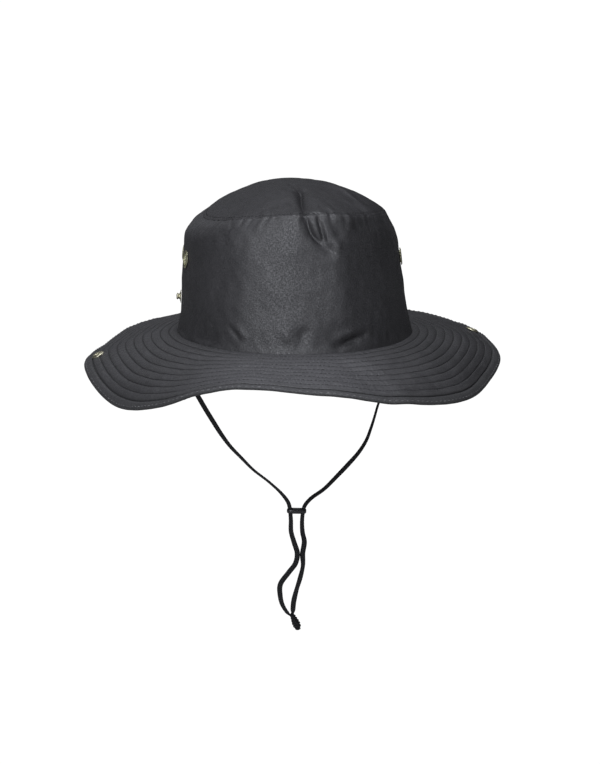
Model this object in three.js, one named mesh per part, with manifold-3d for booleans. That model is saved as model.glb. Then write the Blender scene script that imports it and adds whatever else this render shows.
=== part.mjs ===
// A bush hat: a soft two-piece crown, a wide brim sewn in rings, screened side vents,
// side snaps and a chin cord that hangs below the brim.
// Millimetres, +Z up. The hat faces -Y, and left and right are those of someone who looks at its
// front, so left is -X. The origin is the middle of the head opening, level with the seam
// between crown and brim. Directions go round the head in degrees: 0 right, 90 back, 180 left,
// 270 front.
import * as THREE from "three";
import { mergeVertices } from "three/addons/utils/BufferGeometryUtils.js";
import Module from "manifold-3d";

const wasm = await Module();
wasm.setup();

// Driving dimensions
const CLOTH = 1.3;
const TOUCHING_GAP = 0.3;
const SEAM_ALLOWANCE = 3;
const ALLOWANCE_HEIGHT = 9;
const SUMMIT = 114;
const DOME_POWER = 2.3;
const TIP_CENTRE_X = 1;
const TIP_SEAM_HEIGHT = { left: 88, right: 91.5, front: 100 };
const BRIM_THICKNESS = 2.2;
const BRIM_WIDTH = 77;
const EDGE_BAND = 8;

// Half widths of the crown wall, from its foot (up 0) to the seam with the tip (up 1)
const WALL_SECTIONS = [
  { up: 0.0, left: 91.0, right: 89.5, front: 101.0, back: 101.0 },
  { up: 0.06, left: 89.3, right: 87.8, front: 99.6, back: 99.6 },
  { up: 0.25, left: 87.5, right: 84.0, front: 98.5, back: 98.5 },
  { up: 0.5, left: 86.8, right: 80.7, front: 97.0, back: 97.0 },
  { up: 0.7, left: 85.2, right: 78.4, front: 95.6, back: 95.6 },
  { up: 0.85, left: 84.3, right: 75.2, front: 94.0, back: 94.0 },
  { up: 0.94, left: 78.8, right: 71.0, front: 92.2, back: 92.2 },
  { up: 1.0, left: 71.0, right: 68.0, front: 90.5, back: 90.5 },
];

// The brim's fall in degrees below level, at its seam and at its edge, and its cloth's width
const BRIM_WAVES = [
  { direction: 0, atSeam: 0, atEdge: 37, width: 76 },
  { direction: 22.5, atSeam: 4, atEdge: 20, width: 77 },
  { direction: 45, atSeam: 5, atEdge: 12, width: 77 },
  { direction: 67.5, atSeam: 4, atEdge: 8, width: 77 },
  { direction: 90, atSeam: 4, atEdge: 10, width: 77 },
  { direction: 112.5, atSeam: 5, atEdge: 15, width: 77 },
  { direction: 135, atSeam: 7, atEdge: 19, width: 77 },
  { direction: 157.5, atSeam: 9.5, atEdge: 29.5, width: 77 },
  { direction: 180, atSeam: 11, atEdge: 30, width: 77 },
  { direction: 202.5, atSeam: 17, atEdge: 52, width: 77 },
  { direction: 225, atSeam: 14, atEdge: 37.5, width: 77 },
  { direction: 247.5, atSeam: 4.5, atEdge: 12, width: 77 },
  { direction: 270, atSeam: 5, atEdge: 14, width: 77 },
  { direction: 292.5, atSeam: 9, atEdge: 29, width: 77 },
  { direction: 315, atSeam: 9.5, atEdge: 42, width: 76 },
  { direction: 337.5, atSeam: 9, atEdge: 44, width: 71 },
];

// Folds of the crown. Each runs along a line of direction and up, where up goes on from 1 at the
// tip's seam to 2 at the middle of the tip. A negative depth stands proud of the cloth.
const FOLDS = [
  {
    name: "main groove, from the tip down the wall", depth: 2.6, spread: 4.5,
    line: [[268.5, 1.55], [269, 1.1], [269, 0.97], [272, 0.87], [281.5, 0.75]],
  },
  { name: "second groove", depth: 1.5, spread: 3, line: [[276, 1.02], [279.5, 0.84]] },
  { name: "ridge beside the grooves", depth: -1.6, spread: 4, line: [[281, 1.05], [284, 0.9], [286, 0.78]] },
  { name: "ridge across the tip", depth: -1.4, spread: 7, line: [[336, 1.52], [328, 1.3], [322, 1.09]] },
  { name: "ridge down the right side", depth: -1.2, spread: 4, line: [[334, 0.92], [338, 0.7]] },
  { name: "fold above the right of the foot", depth: 1.4, spread: 4, line: [[284.5, 0.05], [299, 0.11]] },
  { name: "fold above the middle of the foot", depth: 1.0, spread: 4, line: [[266, 0.05], [268, 0.14]] },
];

// Side hardware
const VENTS = [
  { name: "left_front", direction: 190, height: 58 },
  { name: "left_rear", direction: 167, height: 58 },
  { name: "right_rear", direction: 13, height: 58 },
  { name: "right_front", direction: 350, height: 58 },
];
const VENT = { hole: 5, barrel: 4.7, bore: 4.2, flange: 6.7, rolled: 6.2 };
const SCREEN_RADIUS = 3.9;
const CROWN_SNAPS = [
  { name: "left", direction: 178, height: 26.5 },
  { name: "right", direction: 17, height: 26.5 },
];
const BRIM_SNAPS = [
  { name: "left", direction: 176.5, fromSeam: 64 },
  { name: "right", direction: 18, fromSeam: 65 },
];
const SNAP = { hole: 2.2, stem: 1.9, base: 5, cap: 5.2 };

// Chin cord: x and z of each strand's middle, from the crown seam down to the knot
const CORD_RADIUS = 1.5;
const PASSAGE_RADIUS = 1.9;
const CORD_STEPS = 38;
const CORD_SIDES = 8;
const STRAND_OFFSET = 1.3;
const LEFT_STRAND = [
  [-88.6, -2.6], [-88.4, -14], [-86.2, -27], [-81.8, -40], [-74.8, -52.8], [-69.5, -62.4],
  [-63.8, -72.1], [-58.0, -81.7], [-51.1, -91.5], [-42.2, -101.3], [-32.9, -111.1],
  [-20.8, -121.1], [-10.7, -131.0], [-5.6, -138.5], [-4.2, -145.8], [-3.7, -152.6],
  [-3.6, -161.4], [-1.3, -170.2], [0.8, -179.1], [-0.3, -187.3], [-5.6, -194.7],
  [-12.4, -204.3], [-13.2, -213.0], [-10.6, -221.4], [-5.8, -229.4],
];
const RIGHT_STRAND = [
  [87.2, -2.6], [85.0, -14], [79.8, -28], [73.2, -42], [67.4, -53], [64.1, -62.5],
  [61.6, -71.5], [59.1, -79.6], [55.6, -89.1], [49.8, -98.6], [41.6, -108.1],
  [32.6, -117.6], [22.6, -127.6], [11.6, -135.6], [7.0, -141.4], [5.7, -147.0], [5.1, -153.6],
  [5.5, -162.6], [6.9, -170.5], [6.6, -180.3], [5.5, -190.1], [3.5, -199.9], [0.7, -209.7],
  [-1.6, -219.5], [-1.6, -230.0],
];
const SLIDER = { x: 0.8, z: -144.9, tilt: 2.5, length: 15.4, depth: 6.6, height: 3.6 };
const KNOT = { x: -3.9, z: -227.2, length: 15.5, tilt: 20 };

const degrees = THREE.MathUtils.degToRad;

// Smooth value of one column of a table at a place between its rows. With a period, the table
// goes on from its last row to its first.
function readTable(table, key, place, column, period) {
  const rows = table.map((row) => [row[key], row[column]]);
  let at = place;
  if (period) {
    const count = rows.length;
    const moved = (row, by) => [row[0] + by, row[1]];
    rows.unshift(moved(rows[count - 2], -period), moved(rows[count - 1], -period));
    rows.push(moved(rows[2], period), moved(rows[3], period));
    at = THREE.MathUtils.euclideanModulo(place, period);
  }
  const slope = (i) => {
    const before = rows[Math.max(i - 1, 0)];
    const after = rows[Math.min(i + 1, rows.length - 1)];
    return (after[1] - before[1]) / (after[0] - before[0]);
  };
  let i = rows.length - 2;
  while (i > 0 && rows[i][0] > at) i -= 1;
  const span = rows[i + 1][0] - rows[i][0];
  const t = (at - rows[i][0]) / span;
  const s = 1 - t;
  return (
    (1 + 2 * t) * s * s * rows[i][1] + t * s * s * span * slope(i) +
    t * t * (3 - 2 * t) * rows[i + 1][1] - t * t * s * span * slope(i + 1)
  );
}

// The crown, before its folds

function seamHeight(direction) {
  const c = Math.cos(degrees(direction));
  const side = c > 0 ? TIP_SEAM_HEIGHT.right : TIP_SEAM_HEIGHT.left;
  return TIP_SEAM_HEIGHT.front + (side - TIP_SEAM_HEIGHT.front) * c * c;
}

function wallPoint(direction, up, inset) {
  const angle = degrees(direction);
  const [c, s] = [Math.cos(angle), Math.sin(angle)];
  const column = (name) => readTable(WALL_SECTIONS, "up", up, name);
  const halfWidth = column(c > 0 ? "right" : "left") - inset;
  const halfLength = column(s > 0 ? "back" : "front") - inset;
  const mitre = THREE.MathUtils.smoothstep(up, 0.7, 1);
  return new THREE.Vector3(c * halfWidth, s * halfLength, up * seamHeight(direction) - inset * mitre);
}

function tipPoint(direction, inward, inset) {
  const seam = wallPoint(direction, 1, inset);
  const rise = 1 - (1 - inward) ** DOME_POWER;
  return new THREE.Vector3(
    THREE.MathUtils.lerp(seam.x, TIP_CENTRE_X, inward),
    THREE.MathUtils.lerp(seam.y, 0, inward),
    THREE.MathUtils.lerp(seam.z, SUMMIT - inset, rise),
  );
}

function smoothCrown(direction, up, inset = 0) {
  return up <= 1 ? wallPoint(direction, up, inset) : tipPoint(direction, up - 1, inset);
}

// Each fold as a chain of straight lines in space
const foldLines = FOLDS.map((fold) => ({
  ...fold,
  points: fold.line.map(([direction, up]) => smoothCrown(direction, up)),
}));

// How far the folds push the cloth in at a point of the smooth crown
function foldDepth(point) {
  const nearest = new THREE.Vector3();
  let depth = 0;
  for (const fold of foldLines) {
    let distance = Infinity;
    for (let i = 1; i < fold.points.length; i += 1) {
      new THREE.Line3(fold.points[i - 1], fold.points[i]).closestPointToPoint(point, true, nearest);
      distance = Math.min(distance, nearest.distanceTo(point));
    }
    depth += fold.depth * Math.exp(-((distance / fold.spread) ** 2));
  }
  return depth;
}

// The folded crown: the wall is pushed towards the axis and the tip downwards
function crownPoint(direction, up, inset = 0) {
  const point = smoothCrown(direction, up, inset);
  const depth = foldDepth(smoothCrown(direction, up));
  const lean = THREE.MathUtils.smoothstep(up, 0.8, 1.4);
  const angle = degrees(direction);
  point.x -= depth * (1 - lean) * Math.cos(angle);
  point.y -= depth * (1 - lean) * Math.sin(angle);
  point.z -= depth * lean;
  return point;
}

// The brim's top at a distance along the cloth, whose fall grows evenly from seam to edge
function brimTop(direction, fromSeam) {
  const wave = (column) => readTable(BRIM_WAVES, "direction", direction, column, 360);
  const width = wave("width");
  const start = degrees(wave("atSeam"));
  const turn = degrees(wave("atEdge")) - start;
  const fall = start + (turn * fromSeam) / BRIM_WIDTH;
  const out = (width / turn) * (Math.sin(fall) - Math.sin(start));
  const down = (width / turn) * (Math.cos(start) - Math.cos(fall));
  const foot = wallPoint(direction, 0, 0);
  const ahead = wallPoint(direction + 0.01, 0, 0).sub(foot).normalize();
  return new THREE.Vector3(foot.x + ahead.y * out, foot.y - ahead.x * out, -down);
}

// Position and outward normal of a surface that is given as a function of direction and place
function surfaceFrame(surface, direction, place, step) {
  const origin = surface(direction, place);
  const around = surface(direction + 0.5, place).sub(surface(direction - 0.5, place)).normalize();
  const along = surface(direction, place + step).sub(surface(direction, place - step)).normalize();
  const normal = new THREE.Vector3().crossVectors(around, along).normalize();
  const across = new THREE.Vector3().crossVectors(along, normal);
  return new THREE.Matrix4().makeBasis(across, along, normal).setPosition(origin);
}

// A point at a depth below the brim's top; near the seam the depth is measured straight down
function brimPoint(direction, fromSeam, below) {
  const frame = surfaceFrame(brimTop, direction, fromSeam, -0.5);
  const normal = new THREE.Vector3().setFromMatrixColumn(frame, 2);
  const settled = THREE.MathUtils.smoothstep(fromSeam, 0, 8);
  normal.lerp(new THREE.Vector3(0, 0, 1), 1 - settled).normalize();
  return new THREE.Vector3().setFromMatrixPosition(frame).addScaledVector(normal, -below);
}

// Solids

function meshGeometry(positions, triangles) {
  const geometry = new THREE.BufferGeometry();
  geometry.setAttribute("position", new THREE.Float32BufferAttribute(positions, 3));
  geometry.setIndex(triangles);
  return geometry;
}

// A closed band: the same ring of profile points at every direction round the head
function bandSolid(directions, profile) {
  const [columns, rows] = [directions.length, profile.length];
  const positions = directions.flatMap((direction) =>
    profile.flatMap((pointAt) => pointAt(direction).toArray()));
  const triangles = [];
  for (let i = 0; i < columns; i += 1) {
    for (let j = 0; j < rows; j += 1) {
      const [a, b] = [i * rows + j, i * rows + ((j + 1) % rows)];
      const next = ((i + 1) % columns) * rows;
      const [c, d] = [next + j, next + ((j + 1) % rows)];
      triangles.push(a, c, d, a, d, b);
    }
  }
  return meshGeometry(positions, triangles);
}

// A closed cap: the profile runs from the middle of its top round the edge to the middle below
function capSolid(directions, top, profile, bottom) {
  const [columns, rows] = [directions.length, profile.length];
  const positions = directions.flatMap((direction) =>
    profile.flatMap((pointAt) => pointAt(direction).toArray()));
  const topIndex = columns * rows;
  positions.push(...top.toArray(), ...bottom.toArray());
  const triangles = [];
  for (let i = 0; i < columns; i += 1) {
    const [here, next] = [i * rows, ((i + 1) % columns) * rows];
    triangles.push(topIndex, here, next);
    for (let j = 0; j < rows - 1; j += 1) {
      triangles.push(here + j, here + j + 1, next + j + 1, here + j, next + j + 1, next + j);
    }
    triangles.push(here + rows - 1, topIndex + 1, next + rows - 1);
  }
  return meshGeometry(positions, triangles);
}

function solidOf(geometry) {
  const bare = geometry.clone();
  bare.deleteAttribute("normal");
  bare.deleteAttribute("uv");
  const merged = mergeVertices(bare, 1e-4);
  return new wasm.Manifold(new wasm.Mesh({
    numProp: 3,
    vertProperties: new Float32Array(merged.attributes.position.array),
    triVerts: new Uint32Array(merged.index.array),
  }));
}

function geometryOf(solid) {
  const mesh = solid.getMesh();
  return meshGeometry(Array.from(mesh.vertProperties), Array.from(mesh.triVerts));
}

function without(geometry, cutters) {
  const cut = cutters.reduce((solid, cutter) => solid.subtract(solidOf(cutter)), solidOf(geometry));
  return geometryOf(cut);
}

// A turned piece about +Z from a profile of radius and height
function turned(profile, sides) {
  const points = profile.map(([radius, height]) => new THREE.Vector2(radius, height));
  return new THREE.LatheGeometry(points, sides).rotateX(Math.PI / 2);
}

function drill(radius, frame) {
  const length = 12;
  const pin = turned([[0, -length / 2], [radius, -length / 2], [radius, length / 2], [0, length / 2]], 20);
  return pin.applyMatrix4(frame);
}

// Materials
const cloth = () => new THREE.MeshStandardMaterial({ color: 0x3a393d, roughness: 0.8, metalness: 0 });
const brass = () => new THREE.MeshStandardMaterial({ color: 0x8a8464, roughness: 0.4, metalness: 1 });
const braid = () => new THREE.MeshStandardMaterial({ color: 0x17171a, roughness: 0.85, metalness: 0 });
const plastic = () => new THREE.MeshStandardMaterial({ color: 0x1d1d1f, roughness: 0.45, metalness: 0 });

const hat = new THREE.Group();
function add(name, geometry, material) {
  const mesh = new THREE.Mesh(geometry, material);
  mesh.name = name;
  hat.add(mesh);
}

// Directions round the head, closer together where the folds gather at the front
function directionsRound(coarse, fine, from, to) {
  const places = [];
  for (let at = 0; at < 360; at += at >= from && at < to ? fine : coarse) places.push(at);
  return places;
}
const crownDirections = directionsRound(7.5, 2.5, 255, 285);
const brimDirections = directionsRound(5, 5, 0, 0);

const crownFrame = ({ direction, height }) =>
  surfaceFrame(crownPoint, direction, height / seamHeight(direction), 0.02);
const ventFrames = VENTS.map(crownFrame);
const crownSnapFrames = CROWN_SNAPS.map(crownFrame);
const brimSnapFrames = BRIM_SNAPS.map(({ direction, fromSeam }) =>
  surfaceFrame(brimTop, direction, fromSeam, -0.5));

// Crown wall: its foot is thickened inside by the seam allowance and reaches down beside the brim
function crownWall() {
  const outside = [0, 0.03, 0.08, 0.17, 0.3, 0.5, 0.66, 0.76, 0.84, 0.9, 0.95, 1];
  const inside = [1, 0.95, 0.9, 0.84, 0.76, 0.66, 0.5, 0.3, 0.17];
  const foot = (inset, height) => (direction) => wallPoint(direction, 0, inset).setZ(height);
  const allowance = (height) => (direction) =>
    wallPoint(direction, height / TIP_SEAM_HEIGHT.front, SEAM_ALLOWANCE).setZ(height);
  const profile = [
    foot(0, -BRIM_THICKNESS),
    ...outside.map((up) => (direction) => crownPoint(direction, up)),
    ...inside.map((up) => (direction) => crownPoint(direction, up, CLOTH)),
    (direction) => crownPoint(direction, 0.13, CLOTH),
    allowance(ALLOWANCE_HEIGHT),
    foot(SEAM_ALLOWANCE, -BRIM_THICKNESS),
  ];
  const holes = [
    ...ventFrames.map((frame) => drill(VENT.hole, frame)),
    ...crownSnapFrames.map((frame) => drill(SNAP.hole, frame)),
  ];
  return without(bandSolid(crownDirections, profile), holes);
}

// Crown tip: meets the wall on a mitred face
function crownTip() {
  const lift = new THREE.Vector3(0, 0, TOUCHING_GAP * Math.SQRT2);
  const rings = [0.82, 0.62, 0.45, 0.3, 0.18, 0.08, 0];
  const ring = (inward, inset) => (direction) => crownPoint(direction, 1 + inward, inset).add(lift);
  const profile = [
    ...rings.map((inward) => ring(inward, 0)),
    ...rings.toReversed().map((inward) => ring(inward, CLOTH)),
  ];
  const top = crownPoint(0, 2).add(lift);
  const bottom = crownPoint(0, 2, CLOTH).add(lift);
  return capSolid(crownDirections, top, profile, bottom);
}

// Brim: a plain quilted width, a groove, and a padded band at the edge
function brim() {
  const groove = BRIM_WIDTH - EDGE_BAND;
  const section = [
    { fromSeam: TOUCHING_GAP, swell: 0 },
    { fromSeam: 8, swell: 0 },
    { fromSeam: 21, swell: 0 },
    { fromSeam: 35, swell: 0 },
    { fromSeam: 49, swell: 0 },
    { fromSeam: 62, swell: 0 },
    { fromSeam: groove, swell: -0.3 },
    { fromSeam: groove + 2.5, swell: 0.2 },
    { fromSeam: BRIM_WIDTH - 2, swell: 0.1 },
    { fromSeam: BRIM_WIDTH, swell: -0.6 },
  ];
  const top = section.map(({ fromSeam, swell }) => (direction) =>
    brimPoint(direction, fromSeam, -swell));
  const under = section.map(({ fromSeam, swell }) => (direction) =>
    brimPoint(direction, fromSeam, BRIM_THICKNESS + swell));
  const profile = [...under, ...top.toReversed()];
  const holes = brimSnapFrames.map((frame) => drill(SNAP.hole, frame));
  return without(bandSolid(brimDirections, profile), holes);
}

// Screened vents: an eyelet whose flange lies outside the cloth and whose barrel is rolled inside
function eyelet() {
  const inside = -CLOTH - 0.85;
  return turned([
    [VENT.bore, inside - 0.8], [VENT.rolled, inside - 0.6], [VENT.rolled, inside],
    [VENT.barrel, inside], [VENT.barrel, 0.45], [VENT.flange, 0.45],
    [VENT.flange, 0.9], [VENT.flange - 0.8, 1.4], [VENT.barrel, 1.4], [VENT.bore, 1],
    [VENT.bore, inside - 0.8],
  ], 20);
}
const screen = () => turned([[0, 0.3], [SCREEN_RADIUS, 0], [SCREEN_RADIUS, 0.4], [0, 0.7]], 20);

// Side snaps: stud and socket on show, and a cap with a short stem behind the cloth
const snapStud = () => turned([
  [0, TOUCHING_GAP], [SNAP.base, TOUCHING_GAP], [SNAP.base, 0.8], [3, 1.3], [2, 1.7],
  [2, 2.5], [2.5, 3], [2.3, 3.6], [0, 3.9],
], 16);
const snapSocket = () => turned([
  [0, TOUCHING_GAP], [SNAP.base, TOUCHING_GAP], [SNAP.base, 1.2], [SNAP.base - 0.6, 1.8],
  [3, 1.8], [2.7, 1], [0, 1],
], 16);
const snapCap = (thickness) => turned([
  [0, -thickness - 1.6], [SNAP.cap - 1, -thickness - 1.4], [SNAP.cap, -thickness - 0.9],
  [SNAP.cap, -thickness - 0.5], [SNAP.stem, -thickness - 0.5], [SNAP.stem, 0], [0, 0],
], 16);

// Chin cord

// The two strands hang in one plane, and part a little to pass each other below the slider
function strandCurve(points, offset) {
  const bottom = points[points.length - 1][1];
  return new THREE.CatmullRomCurve3(points.map(([x, z]) => {
    const apart = offset * THREE.MathUtils.smoothstep(z / bottom, 0.66, 0.76);
    return new THREE.Vector3(x, apart, z);
  }), false, "centripetal");
}

function strand(curve, radius) {
  const corners = Array.from({ length: CORD_SIDES }, (_, i) => (i * 2 * Math.PI) / CORD_SIDES);
  const section = new THREE.Shape(corners.map((angle) =>
    new THREE.Vector2(radius * Math.cos(angle), radius * Math.sin(angle))));
  return new THREE.ExtrudeGeometry(section, {
    steps: CORD_STEPS, bevelEnabled: false, extrudePath: curve,
  });
}

// The room that a strand needs to pass through a solid or to end inside it
function passage(curve) {
  const points = curve.points.map((point) => point.clone());
  const end = points[points.length - 1];
  end.addScaledVector(curve.getTangent(1), 2 * TOUCHING_GAP);
  return strand(new THREE.CatmullRomCurve3(points, false, "centripetal"), PASSAGE_RADIUS);
}

// Slider: a bar with round ends and a hole for each strand
function slider(passages) {
  const [reach, round] = [SLIDER.length / 2, SLIDER.depth / 2 - 0.6];
  const outline = new THREE.Shape();
  outline.absarc(reach - round - 0.6, 0, round, -Math.PI / 2, Math.PI / 2, false);
  outline.absarc(-(reach - round - 0.6), 0, round, Math.PI / 2, 1.5 * Math.PI, false);
  const depth = SLIDER.height - 1.2;
  const bar = new THREE.ExtrudeGeometry(outline, {
    depth, steps: 1, curveSegments: 8, bevelThickness: 0.6, bevelSize: 0.6, bevelSegments: 2,
  });
  bar.translate(0, 0, -depth / 2).rotateY(degrees(SLIDER.tilt)).translate(SLIDER.x, 0, SLIDER.z);
  return without(bar, passages);
}

// Knot: a drop-shaped lump round both ends
function knot(passages) {
  const lump = turned([
    [0, -KNOT.length], [1.2, -KNOT.length + 0.3], [2.3, -KNOT.length + 2], [3.1, -KNOT.length + 5.5],
    [3.7, -7], [4.3, -4], [4.2, -1.5], [3.6, -0.3], [0, 0],
  ], 20);
  lump.rotateY(degrees(-KNOT.tilt)).translate(KNOT.x, 0, KNOT.z);
  return without(lump, passages);
}

const leftCurve = strandCurve(LEFT_STRAND, -STRAND_OFFSET);
const rightCurve = strandCurve(RIGHT_STRAND, STRAND_OFFSET);
const passages = [leftCurve, rightCurve].map(passage);

add("crown_wall", crownWall(), cloth());
add("crown_tip", crownTip(), cloth());
add("brim", brim(), cloth());
VENTS.forEach(({ name }, i) => {
  add(`vent_${name}`, eyelet().applyMatrix4(ventFrames[i]), brass());
  add(`screen_${name}`, screen().applyMatrix4(ventFrames[i]), brass());
});
CROWN_SNAPS.forEach(({ name }, i) => {
  add(`crown_snap_stud_${name}`, snapStud().applyMatrix4(crownSnapFrames[i]), brass());
  add(`crown_snap_cap_${name}`, snapCap(CLOTH).applyMatrix4(crownSnapFrames[i]), brass());
});
BRIM_SNAPS.forEach(({ name }, i) => {
  add(`brim_snap_socket_${name}`, snapSocket().applyMatrix4(brimSnapFrames[i]), brass());
  add(`brim_snap_cap_${name}`, snapCap(BRIM_THICKNESS).applyMatrix4(brimSnapFrames[i]), brass());
});
add("chin_cord_left", strand(leftCurve, CORD_RADIUS), braid());
add("chin_cord_right", strand(rightCurve, CORD_RADIUS), braid());
add("cord_slider", slider(passages), plastic());
add("cord_knot", knot(passages), braid());

export default hat;
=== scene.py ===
import math
from collections import namedtuple

import bpy
import numpy as np
from mathutils import Matrix, Vector


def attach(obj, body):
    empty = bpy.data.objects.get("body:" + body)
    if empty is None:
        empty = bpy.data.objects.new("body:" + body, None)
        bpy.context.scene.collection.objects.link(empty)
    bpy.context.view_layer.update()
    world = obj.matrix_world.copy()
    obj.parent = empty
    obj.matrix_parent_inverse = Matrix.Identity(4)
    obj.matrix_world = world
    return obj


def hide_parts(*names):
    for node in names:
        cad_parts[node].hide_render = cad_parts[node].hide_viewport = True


# A bush hat of charcoal cloth, held up as on a head: a soft crown with a sewn tip, a wide brim
# quilted in rings, screened brass vents, brass side snaps, and a flat braided chin cord with a
# slider and a knot. Metres, +Z up. The hat faces -Y, and left is -X. Directions go round the
# head in degrees: 0 right, 90 back, 180 left, 270 front.

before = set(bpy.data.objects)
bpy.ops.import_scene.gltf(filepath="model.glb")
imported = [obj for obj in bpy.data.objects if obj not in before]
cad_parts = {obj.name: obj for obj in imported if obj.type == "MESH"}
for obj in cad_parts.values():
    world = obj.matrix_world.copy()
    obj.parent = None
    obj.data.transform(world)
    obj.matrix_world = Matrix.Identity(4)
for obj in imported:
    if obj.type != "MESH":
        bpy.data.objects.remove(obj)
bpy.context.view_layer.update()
chance = np.random.default_rng(7)

# Driving dimensions, the same as the frame's
CLOTH = 0.0013
TOUCHING_GAP = 0.0003
SEAM_ALLOWANCE = 0.003
ALLOWANCE_HEIGHT = 0.009
SUMMIT = 0.114
DOME_POWER = 2.3
TIP_CENTRE_X = 0.001
SEAM_HEIGHT_LEFT = 0.088
SEAM_HEIGHT_RIGHT = 0.0915
SEAM_HEIGHT_FRONT = 0.100
BRIM_THICKNESS = 0.0022
BRIM_WIDTH = 0.077
EDGE_BAND = 0.008
ROW_PITCH = 0.007
ROWS_OF_STITCHES = 10
stitch_rows = BRIM_WIDTH - EDGE_BAND - ROW_PITCH * np.arange(ROWS_OF_STITCHES)

# Direction of the seams at the back, and round figures that turn an angle round the head, or a
# share of the way up the tip, into metres of cloth
BACK = 90
GIRTH_RADIUS = 0.09
BACK_RADIUS = 0.1
BRIM_RADIUS = 0.14
TIP_REACH = 0.078

# Up from where the wall's inner face slants to meet the tip's, and where folds turn from pushing
# the wall in to pushing the tip down
MITRE_FROM = 0.7
TIP_TAKES_OVER = (0.8, 1.4)
# A fold that fades is still this share of its fade deep past its ends
FADE_BEYOND = 0.15

# Half widths of the crown wall, from its foot (up 0) to the seam with the tip (up 1)
WallSection = namedtuple("WallSection", "up left right front back")
WALL_SECTIONS = [
    WallSection(0.00, 0.0910, 0.0895, 0.1010, 0.1010),
    WallSection(0.06, 0.0893, 0.0878, 0.0996, 0.0996),
    WallSection(0.25, 0.0875, 0.0840, 0.0985, 0.0985),
    WallSection(0.50, 0.0868, 0.0807, 0.0970, 0.0970),
    WallSection(0.70, 0.0852, 0.0784, 0.0956, 0.0956),
    WallSection(0.85, 0.0843, 0.0752, 0.0940, 0.0940),
    WallSection(0.94, 0.0788, 0.0710, 0.0922, 0.0922),
    WallSection(1.00, 0.0710, 0.0680, 0.0905, 0.0905),
]

# The brim's fall in degrees below level, at its seam and at its edge, and its cloth's width
BrimWave = namedtuple("BrimWave", "direction at_seam at_edge width")
BRIM_WAVES = [
    BrimWave(0.0, 0.0, 37.0, 0.076),
    BrimWave(22.5, 4.0, 20.0, 0.077),
    BrimWave(45.0, 5.0, 12.0, 0.077),
    BrimWave(67.5, 4.0, 8.0, 0.077),
    BrimWave(90.0, 4.0, 10.0, 0.077),
    BrimWave(112.5, 5.0, 15.0, 0.077),
    BrimWave(135.0, 7.0, 19.0, 0.077),
    BrimWave(157.5, 9.5, 29.5, 0.077),
    BrimWave(180.0, 11.0, 30.0, 0.077),
    BrimWave(202.5, 17.0, 52.0, 0.077),
    BrimWave(225.0, 14.0, 37.5, 0.077),
    BrimWave(247.5, 4.5, 12.0, 0.077),
    BrimWave(270.0, 5.0, 14.0, 0.077),
    BrimWave(292.5, 9.0, 29.0, 0.077),
    BrimWave(315.0, 9.5, 42.0, 0.076),
    BrimWave(337.5, 9.0, 44.0, 0.071),
]

# Folds that the frame has too. Each runs along a line of direction and up, where up goes on from
# 1 at the tip's seam to 2 at the middle of the tip. A negative depth stands proud of the cloth.
# Fade is the share of its line over which a fold dies out at each end.
Fold = namedtuple("Fold", "name depth spread sharpness fade line")
FRAME_FOLDS = [
    Fold("main groove, from the tip down the wall", 0.0026, 0.0045, 2, 0,
         [(268.5, 1.55), (269, 1.1), (269, 0.97), (272, 0.87), (281.5, 0.75)]),
    Fold("second groove", 0.0015, 0.0030, 2, 0, [(276, 1.02), (279.5, 0.84)]),
    Fold("ridge beside the grooves", -0.0016, 0.0040, 2, 0, [(281, 1.05), (284, 0.9), (286, 0.78)]),
    Fold("ridge across the tip", -0.0014, 0.0070, 2, 0, [(336, 1.52), (328, 1.3), (322, 1.09)]),
    Fold("ridge down the right side", -0.0012, 0.0040, 2, 0, [(334, 0.92), (338, 0.7)]),
    Fold("fold above the right of the foot", 0.0014, 0.0040, 2, 0, [(284.5, 0.05), (299, 0.11)]),
    Fold("fold above the middle of the foot", 0.0010, 0.0040, 2, 0, [(266, 0.05), (268, 0.14)]),
]

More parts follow.
